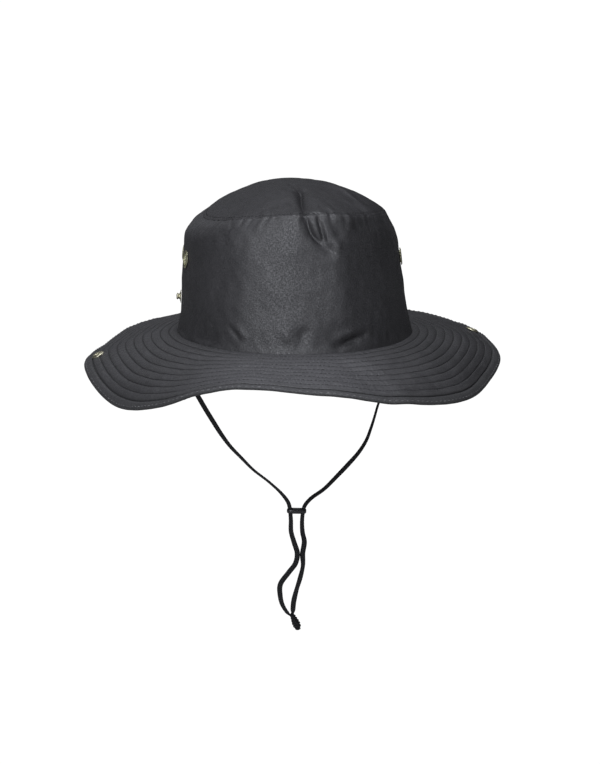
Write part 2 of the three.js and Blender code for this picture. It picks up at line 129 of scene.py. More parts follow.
# The finer folds of the cloth, which stand on the frame's
FINE_FOLDS = [
    Fold("crease of the main groove", 0.0033, 0.0016, 1.4, 0.16,
         [(255.5, 1.735), (270, 1.58), (268.5, 1.40), (268.5, 1.19), (269, 1.03), (270, 0.955),
          (271, 0.905), (272.5, 0.858), (275, 0.82), (278, 0.79), (281.5, 0.755)]),
    Fold("band between the grooves", -0.0004, 0.0018, 2, 0.3,
         [(272.6, 0.97), (275, 0.897), (278.2, 0.82)]),
    Fold("crease of the second groove", 0.0021, 0.0010, 1.4, 0.2,
         [(276, 1.0), (277.5, 0.932), (279, 0.848), (280, 0.80)]),
    Fold("lip right of the second groove", -0.0010, 0.0012, 2, 0.25,
         [(279, 1.0), (280.5, 0.897), (282, 0.775)]),
    Fold("hollow right of the grooves", 0.0016, 0.0042, 2, 0,
         [(282.5, 1.06), (284, 0.98), (286.5, 0.86)]),
    Fold("fold at the top of the tip", 0.0012, 0.0022, 1.6, 0.2,
         [(229, 1.875), (252, 1.76), (268, 1.62)]),
    Fold("rib over the tip's right", -0.0009, 0.0020, 1.8, 0.4,
         [(17.5, 1.583), (334.5, 1.49), (324.5, 1.302), (321.5, 1.117)]),
    Fold("valley beside the rib", 0.0007, 0.0036, 2, 0.5,
         [(350, 1.42), (338, 1.28), (326.5, 1.10)]),
    Fold("streak down the right wall", -0.0012, 0.0018, 1.6, 0.2, [(333.5, 0.85), (337, 0.69)]),
    Fold("swell below the right of the seam", -0.0018, 0.0048, 2, 0, [(288.5, 0.98), (295, 0.945)]),
    Fold("soft corner of the front, right", -0.0020, 0.0120, 2, 0, [(287, 0.78), (288.5, 0.3)]),
    Fold("soft corner of the front, left", -0.0012, 0.0150, 2, 0, [(234, 0.8), (234, 0.4)]),
    Fold("pucker of the left of the seam", 0.0011, 0.0016, 1.6, 0.1, [(222, 1.0), (228.5, 0.935)]),
    Fold("second pucker", 0.0009, 0.0014, 1.6, 0.1, [(231, 1.0), (233, 0.945)]),
    Fold("third pucker", 0.0006, 0.0013, 1.6, 0.1, [(236.8, 1.0), (237.5, 0.955)]),
    Fold("drag over the foot, left", 0.0011, 0.0018, 1.7, 0.45, [(229.5, 0.20), (238.5, 0.07)]),
    Fold("lip of the drag, left", -0.0009, 0.0030, 2, 0.5, [(233.5, 0.22), (241.5, 0.08)]),
    Fold("hollow over the foot, middle", 0.0011, 0.0045, 1.7, 0.5, [(267.5, 0.24), (266, 0.05)]),
    Fold("lip of the drag, middle", -0.0008, 0.0034, 2, 0.5, [(257.5, 0.22), (261.5, 0.07)]),
    Fold("drag over the foot, right", 0.0015, 0.0020, 1.7, 0.4,
         [(283.5, 0.035), (291, 0.075), (300, 0.11)]),
    Fold("lip of the drag, right", -0.0008, 0.0034, 2, 0.4, [(281, 0.09), (288, 0.13), (298, 0.17)]),
    Fold("slack at the back", 0.0018, 0.0080, 2, 0.1, [(118, 0.82), (108, 0.55)]),
    Fold("slack at the back, lower", 0.0014, 0.0070, 2, 0.1, [(66, 0.6), (74, 0.3)]),
    Fold("dent at the back of the tip", 0.0020, 0.0090, 2, 0.1, [(100, 1.12), (88, 1.4)]),
    Fold("drag at the left rear", 0.0010, 0.0040, 1.8, 0.2, [(148, 0.9), (151, 0.66)]),
    Fold("drag at the right rear", 0.0010, 0.0040, 1.8, 0.2, [(36, 0.92), (31, 0.7)]),
    Fold("dent in the tip's left", 0.0012, 0.0100, 2, 0.1, [(205, 1.3), (215, 1.5)]),
]

# Side hardware, with its place on the crown or on the brim
Vent = namedtuple("Vent", "name direction height")
VENTS = [
    Vent("left_front", 190, 0.058),
    Vent("left_rear", 167, 0.058),
    Vent("right_rear", 13, 0.058),
    Vent("right_front", 350, 0.058),
]
CrownSnap = namedtuple("CrownSnap", "name direction height")
CROWN_SNAPS = [CrownSnap("left", 178, 0.0265), CrownSnap("right", 17, 0.0265)]
BrimSnap = namedtuple("BrimSnap", "name direction from_seam")
BRIM_SNAPS = [BrimSnap("left", 176.5, 0.064), BrimSnap("right", 18, 0.065)]
VENT_HOLE_RADIUS = 0.0050
SNAP_HOLE_RADIUS = 0.0022
FRAME_STEP_UP = 0.02
FRAME_STEP_BRIM = 0.0005

# Chin cord: x and z of each strand's middle, from the crown seam down to the knot. They are the
# frame's down to the slider, and below it up to 1.5 mm from the frame's, nearer the photograph
BRAID_PITCH = 0.0026
LACE_WIDTH = 0.0042
LACE_THICKNESS = 0.0017
STRAND_OFFSET = 0.0013
STRANDS_PART = (0.66, 0.76)
LEFT_STRAND = [
    (-0.0886, -0.0026), (-0.0884, -0.0140), (-0.0862, -0.0270), (-0.0818, -0.0400),
    (-0.0748, -0.0528), (-0.0695, -0.0624), (-0.0638, -0.0721), (-0.0580, -0.0817),
    (-0.0511, -0.0915), (-0.0422, -0.1013), (-0.0329, -0.1111), (-0.0208, -0.1211),
    (-0.0107, -0.1310), (-0.0056, -0.1385), (-0.0042, -0.1458), (-0.0037, -0.1526),
    (-0.0036, -0.1614), (-0.0013, -0.1702), (0.0012, -0.1791), (-0.0002, -0.1873),
    (-0.0056, -0.1947), (-0.0122, -0.2043), (-0.0124, -0.2130), (-0.0107, -0.2208),
    (-0.0066, -0.2278), (-0.0033, -0.2308),
]
RIGHT_STRAND = [
    (0.0872, -0.0026), (0.0850, -0.0140), (0.0798, -0.0280), (0.0732, -0.0420),
    (0.0674, -0.0530), (0.0641, -0.0625), (0.0616, -0.0715), (0.0591, -0.0796),
    (0.0556, -0.0891), (0.0498, -0.0986), (0.0416, -0.1081), (0.0326, -0.1176),
    (0.0226, -0.1276), (0.0116, -0.1356), (0.0070, -0.1414), (0.0057, -0.1470),
    (0.0051, -0.1536), (0.0055, -0.1626), (0.0070, -0.1705), (0.0057, -0.1803),
    (0.0059, -0.1901), (0.0038, -0.1999), (0.0009, -0.2097), (-0.0014, -0.2195),
    (-0.0021, -0.2268), (-0.0026, -0.2312),
]
SLIDER_PLACE = Vector((0.0008, 0, -0.1449))
SLIDER_TILT = 2.5
SLIDER_LENGTH = 0.0154
SLIDER_DEPTH = 0.0066
SLIDER_HEIGHT = 0.0036
KNOT_PLACE = Vector((-0.0033, 0, -0.2286))
KNOT_TILT = 23

# Camera at the photograph's angle: a long lens, a little left of the front and above the brim
CAMERA_AZIMUTH = -5.5
CAMERA_ELEVATION = 12.0
CAMERA_DISTANCE = 1.7
CAMERA_LENS = 104.04
CAMERA_SENSOR = 36
AIM_RIGHT = 0.003465
AIM_UP = -0.040806


def direction_to(azimuth, elevation):
    """Direction from the hat. Azimuth 0 is its front, and elevation is above level."""
    a, e = math.radians(azimuth), math.radians(elevation)
    return Vector((math.sin(a) * math.cos(e), -math.cos(a) * math.cos(e), math.sin(e)))


def add_object(name, data):
    made = bpy.data.objects.new(name, data)
    bpy.context.scene.collection.objects.link(made)
    return made


def set_camera():
    azimuth = math.radians(CAMERA_AZIMUTH)
    back = direction_to(CAMERA_AZIMUTH, CAMERA_ELEVATION)
    right = Vector((math.cos(azimuth), math.sin(azimuth), 0))
    up = back.cross(right)
    camera = add_object("camera", bpy.data.cameras.new("camera"))
    camera.data.lens = CAMERA_LENS
    camera.data.sensor_width = CAMERA_SENSOR
    camera.location = AIM_RIGHT * right + AIM_UP * up + CAMERA_DISTANCE * back
    camera.rotation_mode = "QUATERNION"
    camera.rotation_quaternion = Matrix((right, up, back)).transposed().to_quaternion()
    bpy.context.scene.camera = camera


# Curves and surfaces as functions

def smoothstep(value, low, high):
    t = np.clip((value - low) / (high - low), 0, 1)
    return t * t * (3 - 2 * t)


def unit(vectors):
    return vectors / np.linalg.norm(vectors, axis=-1, keepdims=True)


def alike(*values):
    """The values as arrays of numbers that have one shape."""
    return np.broadcast_arrays(*(np.asarray(value, float) for value in values))


def read_table(table, key, place, column, period=None):
    """Smooth value of a column between the table's rows. With a period the table goes on round."""
    keys = np.array([getattr(row, key) for row in table], float)
    values = np.array([getattr(row, column) for row in table], float)
    at = np.asarray(place, float)
    if period:
        keys = np.concatenate([keys[-2:] - period, keys, keys[:2] + period])
        values = np.concatenate([values[-2:], values, values[:2]])
        at = np.mod(at, period)
    slopes = np.empty_like(values)
    slopes[1:-1] = (values[2:] - values[:-2]) / (keys[2:] - keys[:-2])
    slopes[0] = (values[1] - values[0]) / (keys[1] - keys[0])
    slopes[-1] = (values[-1] - values[-2]) / (keys[-1] - keys[-2])
    i = np.clip(np.searchsorted(keys, at, side="right") - 1, 0, len(keys) - 2)
    span = keys[i + 1] - keys[i]
    t = (at - keys[i]) / span
    s = 1 - t
    return (
        (1 + 2 * t) * s * s * values[i] + t * s * s * span * slopes[i]
        + t * t * (3 - 2 * t) * values[i + 1] - t * t * s * span * slopes[i + 1]
    )


def seam_height(direction):
    c = np.cos(np.radians(direction))
    side = np.where(c > 0, SEAM_HEIGHT_RIGHT, SEAM_HEIGHT_LEFT)
    return SEAM_HEIGHT_FRONT + (side - SEAM_HEIGHT_FRONT) * c * c


def wall_point(direction, up, inset=0.0):
    direction, up = alike(direction, up)
    angle = np.radians(direction)
    c, s = np.cos(angle), np.sin(angle)
    width = {side: read_table(WALL_SECTIONS, "up", up, side) for side in WallSection._fields[1:]}
    half_width = np.where(c > 0, width["right"], width["left"]) - inset
    half_length = np.where(s > 0, width["back"], width["front"]) - inset
    mitre = smoothstep(up, MITRE_FROM, 1)
    height = up * seam_height(direction) - inset * mitre
    return np.stack([c * half_width, s * half_length, height], -1)


def tip_point(direction, inward, inset=0.0):
    inward = np.asarray(inward, float)
    seam = wall_point(direction, 1.0, inset)
    centre = np.array([TIP_CENTRE_X, 0, 0])
    point = seam + (centre - seam) * inward[..., None]
    rise = 1 - np.maximum(1 - inward, 0) ** DOME_POWER
    point[..., 2] = seam[..., 2] + (SUMMIT - inset - seam[..., 2]) * rise
    return point


def smooth_crown(direction, up, inset=0.0):
    direction, up = alike(direction, up)
    on_wall = wall_point(direction, np.minimum(up, 1), inset)
    on_tip = tip_point(direction, np.maximum(up - 1, 0), inset)
    return np.where((up <= 1)[..., None], on_wall, on_tip)


def fold_depth(points, folds):
    """How far folds push the cloth in at points of the smooth crown."""
    depth = np.zeros(points.shape[:-1])
    for fold in folds:
        chain = smooth_crown(*np.array(fold.line, float).T)
        steps = np.linalg.norm(np.diff(chain, axis=0), axis=1)
        nearest = np.full(depth.shape, np.inf)
        along = np.zeros(depth.shape)
        for i, (start, end) in enumerate(zip(chain[:-1], chain[1:])):
            run = end - start
            share = np.clip((points - start) @ run / (run @ run), 0, 1)
            away = points - start - share[..., None] * run
            away = np.einsum("...i,...i", away, away)
            along = np.where(away < nearest, (steps[:i].sum() + share * steps[i]) / steps.sum(), along)
            nearest = np.minimum(nearest, away)
        shape = np.exp(-(np.sqrt(nearest) / fold.spread) ** fold.sharpness)
        if fold.fade:
            from_end = np.minimum(along, 1 - along)
            shape = shape * smoothstep(from_end, -FADE_BEYOND * fold.fade, fold.fade)
        depth += fold.depth * shape
    return depth


def crown_point(direction, up, inset=0.0, more=0.0, folds=FRAME_FOLDS):
    """The folded crown: the wall is pushed towards the axis and the tip downwards."""
    direction, up = alike(direction, up)
    depth = fold_depth(smooth_crown(direction, up), folds) + more
    lean = smoothstep(up, *TIP_TAKES_OVER)
    angle = np.radians(direction)
    push = np.stack([-np.cos(angle) * (1 - lean), -np.sin(angle) * (1 - lean), -lean], -1)
    return smooth_crown(direction, up, inset) + push * depth[..., None]


def brim_top(direction, from_seam):
    """The brim's top at a distance along the cloth, whose fall grows evenly from seam to edge."""
    wave = {name: read_table(BRIM_WAVES, "direction", direction, name, 360)
            for name in BrimWave._fields[1:]}
    start = np.radians(wave["at_seam"])
    turn = np.radians(wave["at_edge"]) - start
    fall = start + turn * from_seam / BRIM_WIDTH
    out = wave["width"] / turn * (np.sin(fall) - np.sin(start))
    down = wave["width"] / turn * (np.cos(start) - np.cos(fall))
    foot = wall_point(direction, 0.0)
    ahead = unit(wall_point(direction + 0.01, 0.0) - foot)
    x = foot[..., 0] + ahead[..., 1] * out
    y = foot[..., 1] - ahead[..., 0] * out
    return np.stack([x, y, -down], -1)


def surface_axes(surface, direction, place, step):
    """Across, along and outward directions of a surface at places on it."""
    around = unit(surface(direction + 0.5, place) - surface(direction - 0.5, place))
    along = unit(surface(direction, place + step) - surface(direction, place - step))
    normal = unit(np.cross(around, along))
    return np.cross(along, normal), along, normal


def surface_frame(surface, direction, place, step):
    """Matrix that stands a piece on a surface, with its own +Z pointing out of it."""
    direction, place = np.array(float(direction)), np.array(float(place))
    axes = surface_axes(surface, direction, place, step)
    matrix = Matrix(np.stack(axes, -1).tolist()).to_4x4()
    matrix.translation = surface(direction, place).tolist()
    return matrix


def brim_point(direction, from_seam, below):
    """A point at a depth below the brim's top, measured straight down near the seam."""
    normal = surface_axes(brim_top, direction, from_seam, -FRAME_STEP_BRIM)[2]
    settled = smoothstep(from_seam, 0, 0.008)[..., None]
    normal = unit(normal * settled + np.array([0, 0, 1.0]) * (1 - settled))
    return brim_top(direction, from_seam) - normal * below[..., None]


# Meshes

def finish_mesh(name, points, faces, material, maps=None):
    """An object from points and faces. Each map is a name and one place for each face corner."""
    mesh = bpy.data.meshes.new(name)
    mesh.from_pydata(points.tolist(), [], faces.tolist() if hasattr(faces, "tolist") else faces)
    for map_name, places in (maps or {}).items():
        mesh.uv_layers.new(name=map_name).uv.foreach_set("vector", places.astype(np.float32).ravel())
    mesh.shade_smooth()
    mesh.materials.append(material)
    return add_object(name, mesh)


def faces_out(points, faces):
    """Whether the faces of a closed solid point out of it."""
    a, b, c = (points[faces[:, i]] for i in range(3))
    volume = np.einsum("ij,ij", a, np.cross(b, c))
    if faces.shape[1] == 4:
        volume += np.einsum("ij,ij", a, np.cross(c, points[faces[:, 3]]))
    return volume > 0


def ring_piece(name, points, material, maps):
    """A closed band from points[column, row]: columns go round the head, rows round the section.
    Each map has one more column and row than the points, so that its ends needn't meet."""
    columns, rows = points.shape[:2]
    c, r = np.meshgrid(np.arange(columns), np.arange(rows), indexing="ij")
    corners = [(c, r), (c + 1, r), (c + 1, r + 1), (c, r + 1)]
    faces = np.stack([(i % columns) * rows + j % rows for i, j in corners], -1).reshape(-1, 4)
    flat = points.reshape(-1, 3)
    if not faces_out(flat, faces):
        corners.reverse()
        faces = faces[:, ::-1]
    places = {n: np.stack([m[i, j] for i, j in corners], -2).reshape(-1, 2) for n, m in maps.items()}
    return finish_mesh(name, flat, faces, material, places)


def tube_faces(rings, sides, first=0, closed_ends=True):
    """Faces of a tube of rings, with a fan over each end where it is closed."""
    i, j = np.meshgrid(np.arange(rings - 1), np.arange(sides), indexing="ij")
    k = (j + 1) % sides
    quads = np.stack([i * sides + j, i * sides + k, (i + 1) * sides + k, (i + 1) * sides + j], -1)
    faces = (quads.reshape(-1, 4) + first).tolist()
    if closed_ends:
        last = first + (rings - 1) * sides
        faces.append(list(range(first + sides - 1, first - 1, -1)))
        faces.append(list(range(last, last + sides)))
    return faces


def arc(middle, radius, start, end, steps):
    """Points of an arc in a turned section, as radius and height, with angles in degrees."""
    turns = [math.radians(angle) for angle in np.linspace(start, end, steps)]
    return [(middle[0] + radius * math.cos(a), middle[1] + radius * math.sin(a)) for a in turns]


def turned_mesh(profile, sides):
    """Points and faces of a piece that is turned about +Z. A profile starts and ends on the axis
    or closes on itself."""
    on_axis = profile[0][0] == 0
    turns = np.linspace(0, 2 * math.pi, sides, endpoint=False)
    rings = profile[1:-1] if on_axis else profile
    points = [(r * math.cos(t), r * math.sin(t), z) for r, z in rings for t in turns]
    faces = tube_faces(len(rings), sides, closed_ends=False)
    low, high = len(points), len(points) + 1
    last = (len(rings) - 1) * sides
    if on_axis:
        points += [(0, 0, profile[0][1]), (0, 0, profile[-1][1])]
    for j in range(sides):
        k = (j + 1) % sides
        if on_axis:
            faces += [[low, k, j], [high, last + j, last + k]]
        else:
            faces.append([last + j, last + k, k, j])
    return np.array(points), faces


def turned_piece(name, profile, sides, matrix, material):
    points, faces = turned_mesh(profile, sides)
    piece = finish_mesh(name, points, faces, material)
    piece.data.transform(matrix)
    return outward(piece)


def outward(piece):
    """Turns a closed piece's faces to point out of it."""
    mesh = piece.data
    mesh.calc_loop_triangles()
    corners = np.array([t.vertices for t in mesh.loop_triangles])
    places = np.array([v.co for v in mesh.vertices])
    a, b, c = (places[corners[:, i]] for i in range(3))
    if np.einsum("ij,ij", a, np.cross(b, c)) < 0:
        mesh.flip_normals()
    return piece


def cut(piece, cutters):
    """Cuts holes in a piece and removes the cutters."""
    for cutter in cutters:
        modifier = piece.modifiers.new("hole", "BOOLEAN")
        modifier.operation = "DIFFERENCE"
        modifier.object = cutter
        modifier.solver = "MANIFOLD"
    shape = bpy.data.meshes.new_from_object(piece.evaluated_get(bpy.context.evaluated_depsgraph_get()))
    piece.modifiers.clear()
    piece.data = shape
    for cutter in cutters:
        bpy.data.objects.remove(cutter)
    return piece


def drill(radius, matrix):
    """A cutter that goes through any cloth of the hat."""
    reach = 0.006
    profile = [(0, -reach), (radius, -reach), (radius, reach), (0, reach)]
    return turned_piece("drill", profile, 40, matrix, materials["crown_cloth"])


def settle(piece, slot, *nodes):
    """Makes a finished piece part of the hat: it rides on the frame and takes its nodes' place."""
    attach(piece, "root")
    if nodes:
        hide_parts(*nodes)
    return piece


# Shader nodes

class Net:
    """Adds nodes to a tree. A value that is a socket is linked, and any other value is set."""

    def __init__(self, tree):
        self.tree = tree

    def put(self, socket, value):
        if isinstance(value, bpy.types.NodeSocket):
            self.tree.links.new(value, socket)
        else:
            socket.default_value = value

    def node(self, kind, values=None, **settings):
        made = self.tree.nodes.new(kind)
        for name, value in settings.items():
            setattr(made, name, value)
        for key, value in (values or {}).items():
            self.put(made.inputs[key], value)
        return made

    def send(self, node, **values):
        """Fills a node's inputs by their names, which are written with _ for a space."""
        for name, value in values.items():
            self.put(node.inputs[name.replace("_", " ")], value)
        return node

    def place(self):
        """Place on the hat, in metres."""
        return self.node("ShaderNodeTexCoord").outputs["Object"]

    def laid(self, name):
        """Place on one of the piece's own maps, in metres along its cloth or braid."""
        return self.node("ShaderNodeUVMap", uv_map=name).outputs[0]

    def parts(self, place):
        return self.node("ShaderNodeSeparateXYZ", {0: place}).outputs

    def math(self, operation, a, b=0.0, c=0.0):
        return self.node("ShaderNodeMath", {0: a, 1: b, 2: c}, operation=operation).outputs[0]

    def times(self, a, b):
        return self.math("MULTIPLY", a, b)

    def rest(self, share):
        """What a share leaves of 1."""
        return self.math("SUBTRACT", 1.0, share)

    def vector(self, operation, a, b):
        return self.node("ShaderNodeVectorMath", {0: a, 1: b}, operation=operation).outputs

    def scaled(self, place, by):
        return self.vector("MULTIPLY", place, by)[0]

    def noise(self, place, scale, detail=2.0, roughness=0.5):
        made = self.node("ShaderNodeTexNoise", {
            "Vector": place, "Scale": scale, "Detail": detail, "Roughness": roughness})
        return made.outputs["Fac"]

    def streaks(self, place, scales, detail=2.0, roughness=0.5):
        """Noise that is finer along one axis than along another."""
        return self.noise(self.scaled(place, scales), 1.0, detail, roughness)

    def patches(self, place, size, detail, roughness):
        """Noise in patches of a size that is given in metres."""
        return self.noise(place, self.math("DIVIDE", 1.0, size), detail, roughness)

    def span(self, value, low, high, to_low=0.0, to_high=1.0, smooth=True):
        made = self.node("ShaderNodeMapRange", {
            "Value": value, "From Min": low, "From Max": high, "To Min": to_low, "To Max": to_high})
        made.interpolation_type = "SMOOTHSTEP" if smooth else "LINEAR"
        return made.outputs["Result"]

    def between(self, value, low, high, soft):
        """1 from low to high and 0 outside them, with soft ends."""
        return self.times(self.span(value, low, low + soft), self.span(value, high, high - soft))

    def mixed(self, share, a, b):
        made = self.node("ShaderNodeMix", data_type="RGBA")
        self.put(made.inputs["Factor"], share)
        self.put(made.inputs[6], a)
        self.put(made.inputs[7], b)
        return made.outputs[2]

    def bump(self, height, distance, strength=1.0, normal=None):
        made = self.node("ShaderNodeBump", {
            "Height": height, "Distance": distance, "Strength": strength})
        if normal:
            self.put(made.inputs["Normal"], normal)
        return made.outputs["Normal"]


def new_group(name, inputs, outputs):
    """A shader node group with named sockets. Each input is a kind and a starting value."""
    group = bpy.data.node_groups.new(name, "ShaderNodeTree")
    for socket, (kind, value) in inputs.items():
        made = group.interface.new_socket(socket, in_out="INPUT", socket_type=f"NodeSocket{kind}")
        if value is not None:
            made.default_value = value
    for socket, kind in outputs.items():
        group.interface.new_socket(socket, in_out="OUTPUT", socket_type=f"NodeSocket{kind}")
    net = Net(group)
    return group, net, net.node("NodeGroupInput").outputs, net.node("NodeGroupOutput")


def plain_weave_group():
    """Threads that pass over and under each other. Place is in metres along the cloth."""
    group, net, given, result = new_group(
        "plain weave",
        {"Place": ("Vector", None), "Threads per metre": ("Float", 2000.0), "Slub": ("Float", 0.3)},
        {"Height": "Float", "Shade": "Float", "Grain": "Float"},
    )
    place = given["Place"]
    wander = net.node("ShaderNodeTexNoise", {"Vector": place, "Scale": 160.0, "Detail": 1.0})
    drift = net.scaled(wander.outputs["Color"], (0.0012, 0.0012, 0.0))
    counted = net.node("ShaderNodeVectorMath", {
        0: net.vector("ADD", place, drift)[0], "Scale": given["Threads per metre"]}, operation="SCALE")
    counts = net.parts(counted.outputs[0])[:2]
    sines = [net.math("SINE", net.times(count, math.pi)) for count in counts]
    numbers = [net.node("ShaderNodeTexWhiteNoise", {"W": net.math("FLOOR", count)},
                        noise_dimensions="1D").outputs["Value"] for count in counts]
    over = net.math("MULTIPLY_ADD", net.times(*sines), 0.5, 0.5)
    warp, weft = [net.times(net.math("ABSOLUTE", sine), share)
                  for sine, share in zip(sines, (over, net.rest(over)))]
    above = net.math("GREATER_THAN", over, 0.5)
    thread = net.math("ADD", net.times(numbers[0], above), net.times(numbers[1], net.rest(above)))
    fleck = net.streaks(place, (1300.0, 500.0, 1.0), 2.0, 0.7)
    slub = net.times(net.math("ADD", thread, fleck), net.times(given["Slub"], 0.5))
    grains = [net.streaks(place, scales, 2.0, 0.6)
              for scales in ((1500.0, 500.0, 1.0), (500.0, 1500.0, 1.0))]
    net.send(result, Height=net.math("ADD", net.math("MAXIMUM", warp, weft), slub),
             Shade=net.math("MULTIPLY_ADD", thread, 0.5, net.times(fleck, 0.5)),
             Grain=net.span(net.math("ADD", *grains), 0.84, 1.16))
    return group


def sewn_line_group():
    """Thin lines where rows of stitches draw the cloth in. Place runs outwards in y, in metres,
    over the top to the edge and back underneath."""
    group, net, given, result = new_group(
        "sewn line",
        {"Place": ("Vector", None), "First": ("Float", 0.006), "Pitch": ("Float", 0.007),
         "Rows": ("Float", 10.0), "Edge": ("Float", 0.077), "Width": ("Float", 0.0006)},
        {"Line": "Float"},
    )
    folded = net.math("ABSOLUTE", net.math("SUBTRACT", net.parts(given["Place"])[1], given["Edge"]))
    from_first = net.math("SUBTRACT", net.math("SUBTRACT", given["Edge"], folded), given["First"])
    number = net.math("DIVIDE", from_first, given["Pitch"])
    nearest = net.math("MINIMUM", net.math("MAXIMUM", net.math("ROUND", number), 0.0),
                       net.math("SUBTRACT", given["Rows"], 1.0))
    away = net.times(net.math("ABSOLUTE", net.math("SUBTRACT", number, nearest)), given["Pitch"])
    net.send(result, Line=net.span(net.math("DIVIDE", away, given["Width"]), 0.3, 1.0, 1.0, 0.0))
    return group


def handling_group():
    """Large soft changes where cloth was handled, and sparse lint. Place is in metres."""
    group, net, given, result = new_group(
        "handling",
        {"Place": ("Vector", None), "Size": ("Float", 0.04), "Lint": ("Float", 0.5)},
        {"Fade": "Float", "Lint": "Float"},
    )
    wide = net.patches(given["Place"], given["Size"], 3.0, 0.55)
    speck = net.streaks(given["Place"], (900.0, 900.0, 420.0), 1.0)
    rare = net.noise(given["Place"], 60.0, 1.0)
    dust = net.times(net.span(speck, 0.69, 0.78), net.span(rare, 0.45, 0.7))
    net.send(result, Fade=net.span(wide, 0.32, 0.68), Lint=net.times(dust, given["Lint"]))
    return group


def rubbed_edge_group():
    """How far an outer edge is rubbed, from 1 on sharp edges to 0 on flats, and where it is hollow."""
    group, net, given, result = new_group(
        "rubbed edge",
        {"Start": ("Float", 0.52), "Full": ("Float", 0.62), "Place": ("Vector", None),
         "Patch size": ("Float", 0.003)},
        {"Rub": "Float", "Hollow": "Float"},
    )
    point = net.node("ShaderNodeNewGeometry").outputs["Pointiness"]
    rub = net.span(point, given["Start"], given["Full"], smooth=False)
    patch = net.patches(given["Place"], given["Patch size"], 3.0, 0.6)
    net.send(result, Rub=net.times(rub, net.span(patch, 0.25, 0.6)),
             Hollow=net.span(point, 0.4, 0.5, 1.0, 0.0))
    return group


def tarnish_group():
    """Dark patches in a brighter ground, with fine scratches, for old metal and plastic."""
    group, net, given, result = new_group(
        "tarnish",
        {"Place": ("Vector", None), "Patch size": ("Float", 0.002)},
        {"Dark": "Float", "Scratches": "Float"},
    )
    patch = net.patches(given["Place"], given["Patch size"], 4.0, 0.65)
    net.send(result, Dark=net.span(patch, 0.35, 0.65),
             Scratches=net.streaks(given["Place"], (9000.0, 900.0, 2500.0), 2.0, 0.6))
    return group


def new_material(name):
    """A material with an empty Principled BSDF, its node net and the shader."""
    material = bpy.data.materials.new(name)
    material.use_nodes = True
    net = Net(material.node_tree)
    shader = material.node_tree.nodes["Principled BSDF"]
    return material, net, shader


def placed(net, name, **values):
    """One of the shared effects in a material, with the material's own values."""
    return net.send(net.node("ShaderNodeGroup", node_tree=groups[name]), **values).outputs


def cloth_material(name, gloss, marks_and_painted_light=None):
    """Charcoal cloth: the weave's threads, soft fading, a little lint, rubbed high places and painted
    shade in its hollows.
    """
    material, net, shader = new_material(name)
    place = net.place()
    weave = placed(net, "plain weave", Place=net.laid("cloth"), Threads_per_metre=2100.0, Slub=0.35)
    handled = placed(net, "handling", Place=place, Size=0.045, Lint=0.3)
    rubbed = placed(net, "rubbed edge", Place=place, Start=0.53, Full=0.66, Patch_size=0.004)
    tone = net.math("MULTIPLY_ADD", handled["Fade"], 0.25, net.times(weave["Shade"], 0.4))
    tone = net.math("MULTIPLY_ADD", weave["Grain"], 0.35, tone)
    colour = net.mixed(tone, DARK_CHARCOAL, LIGHT_CHARCOAL)
    # Painted shade: the colour goes towards SHADE where the cloth is hollow, in its creases and folds
    colour = net.mixed(net.times(rubbed["Hollow"], 0.5), colour, SHADE)
    rough = net.math("MULTIPLY_ADD", weave["Shade"], 0.08, net.times(handled["Fade"], 0.05))
    rough = net.math("MULTIPLY_ADD", weave["Grain"], -0.3, rough)
    rough = net.math("ADD", rough, 0.68)
    normal = net.bump(weave["Height"], 0.00005)
    normal = net.bump(weave["Grain"], 0.00006, 1.0, normal)
    normal = net.bump(net.noise(place, 130.0, 3.0, 0.5), 0.0009, 0.5, normal)
    # Extra marks for one piece; on the brim they include painted shade and a painted sheen
    if marks_and_painted_light:
        colour, rough, normal = marks_and_painted_light(net, place, colour, rough, normal)
    colour = net.mixed(net.times(rubbed["Rub"], 0.35), colour, RUBBED_CHARCOAL)
    net.send(shader, Base_Color=net.mixed(handled["Lint"], colour, LINT), Roughness=rough,
             Normal=normal, Specular_IOR_Level=gloss)
    return material


def quilted(net, place, colour, rough, normal):
    """The brim's marks: painted shade along its stitches, fainter over the brow, and in its edge band
    and rolled edge; puckers beside them; and over the brow cloth pulled flatter and painted lighter
    as a painted sheen."""
    lie = net.laid("rows")
    line = placed(net, "sewn line", Place=lie, First=stitch_rows[-1], Pitch=ROW_PITCH,
                  Rows=ROWS_OF_STITCHES, Edge=BRIM_WIDTH, Width=0.0006)["Line"]
    from_seam = net.parts(lie)[1]
    reach = EDGE_BAND + 0.004
    # Painted shade: the edge band, and still more the rolled edge under it, are darkened towards SHADE
    band_shade = net.between(from_seam, BRIM_WIDTH - reach, BRIM_WIDTH + reach, 0.002)
    rolled = net.between(from_seam, BRIM_WIDTH - 0.0012, BRIM_WIDTH + 0.0016, 0.0006)
    off_brow = net.span(net.parts(place)[1], -0.15, -0.08, 0.35, 1.0)
    # Painted shade along the rows of stitches, where their grooves fall into shade; fainter over the
    # brow
    stitch_shade = net.times(line, net.math("MAXIMUM", off_brow, net.times(band_shade, 0.95)))
    brow_middle = (-0.015, -0.145, 0)
    from_brow = net.vector("DISTANCE", place, brow_middle)["Value"]
    # Painted sheen: over the brow the cloth is painted lighter, towards a lighter charcoal
    colour = net.mixed(net.span(from_brow, 0.105, 0.03, 0.0, 0.85), colour, PAINTED_SHEEN_CHARCOAL)
    # Each painted shade makes the colour darker and the cloth duller
    for mask, darker, duller in ((stitch_shade, 1.0, 0.25), (band_shade, 0.35, 0.14), (rolled, 0.8, 0.25)):
        colour = net.mixed(net.times(mask, darker), colour, SHADE)
        rough = net.math("MULTIPLY_ADD", mask, duller, rough)
    normal = net.bump(net.streaks(lie, (260.0, 70.0, 1.0), 2.0, 0.6), 0.0009, 0.6, normal)
    normal = net.bump(net.rest(stitch_shade), 0.0004, 1.0, normal)
    return colour, rough, normal


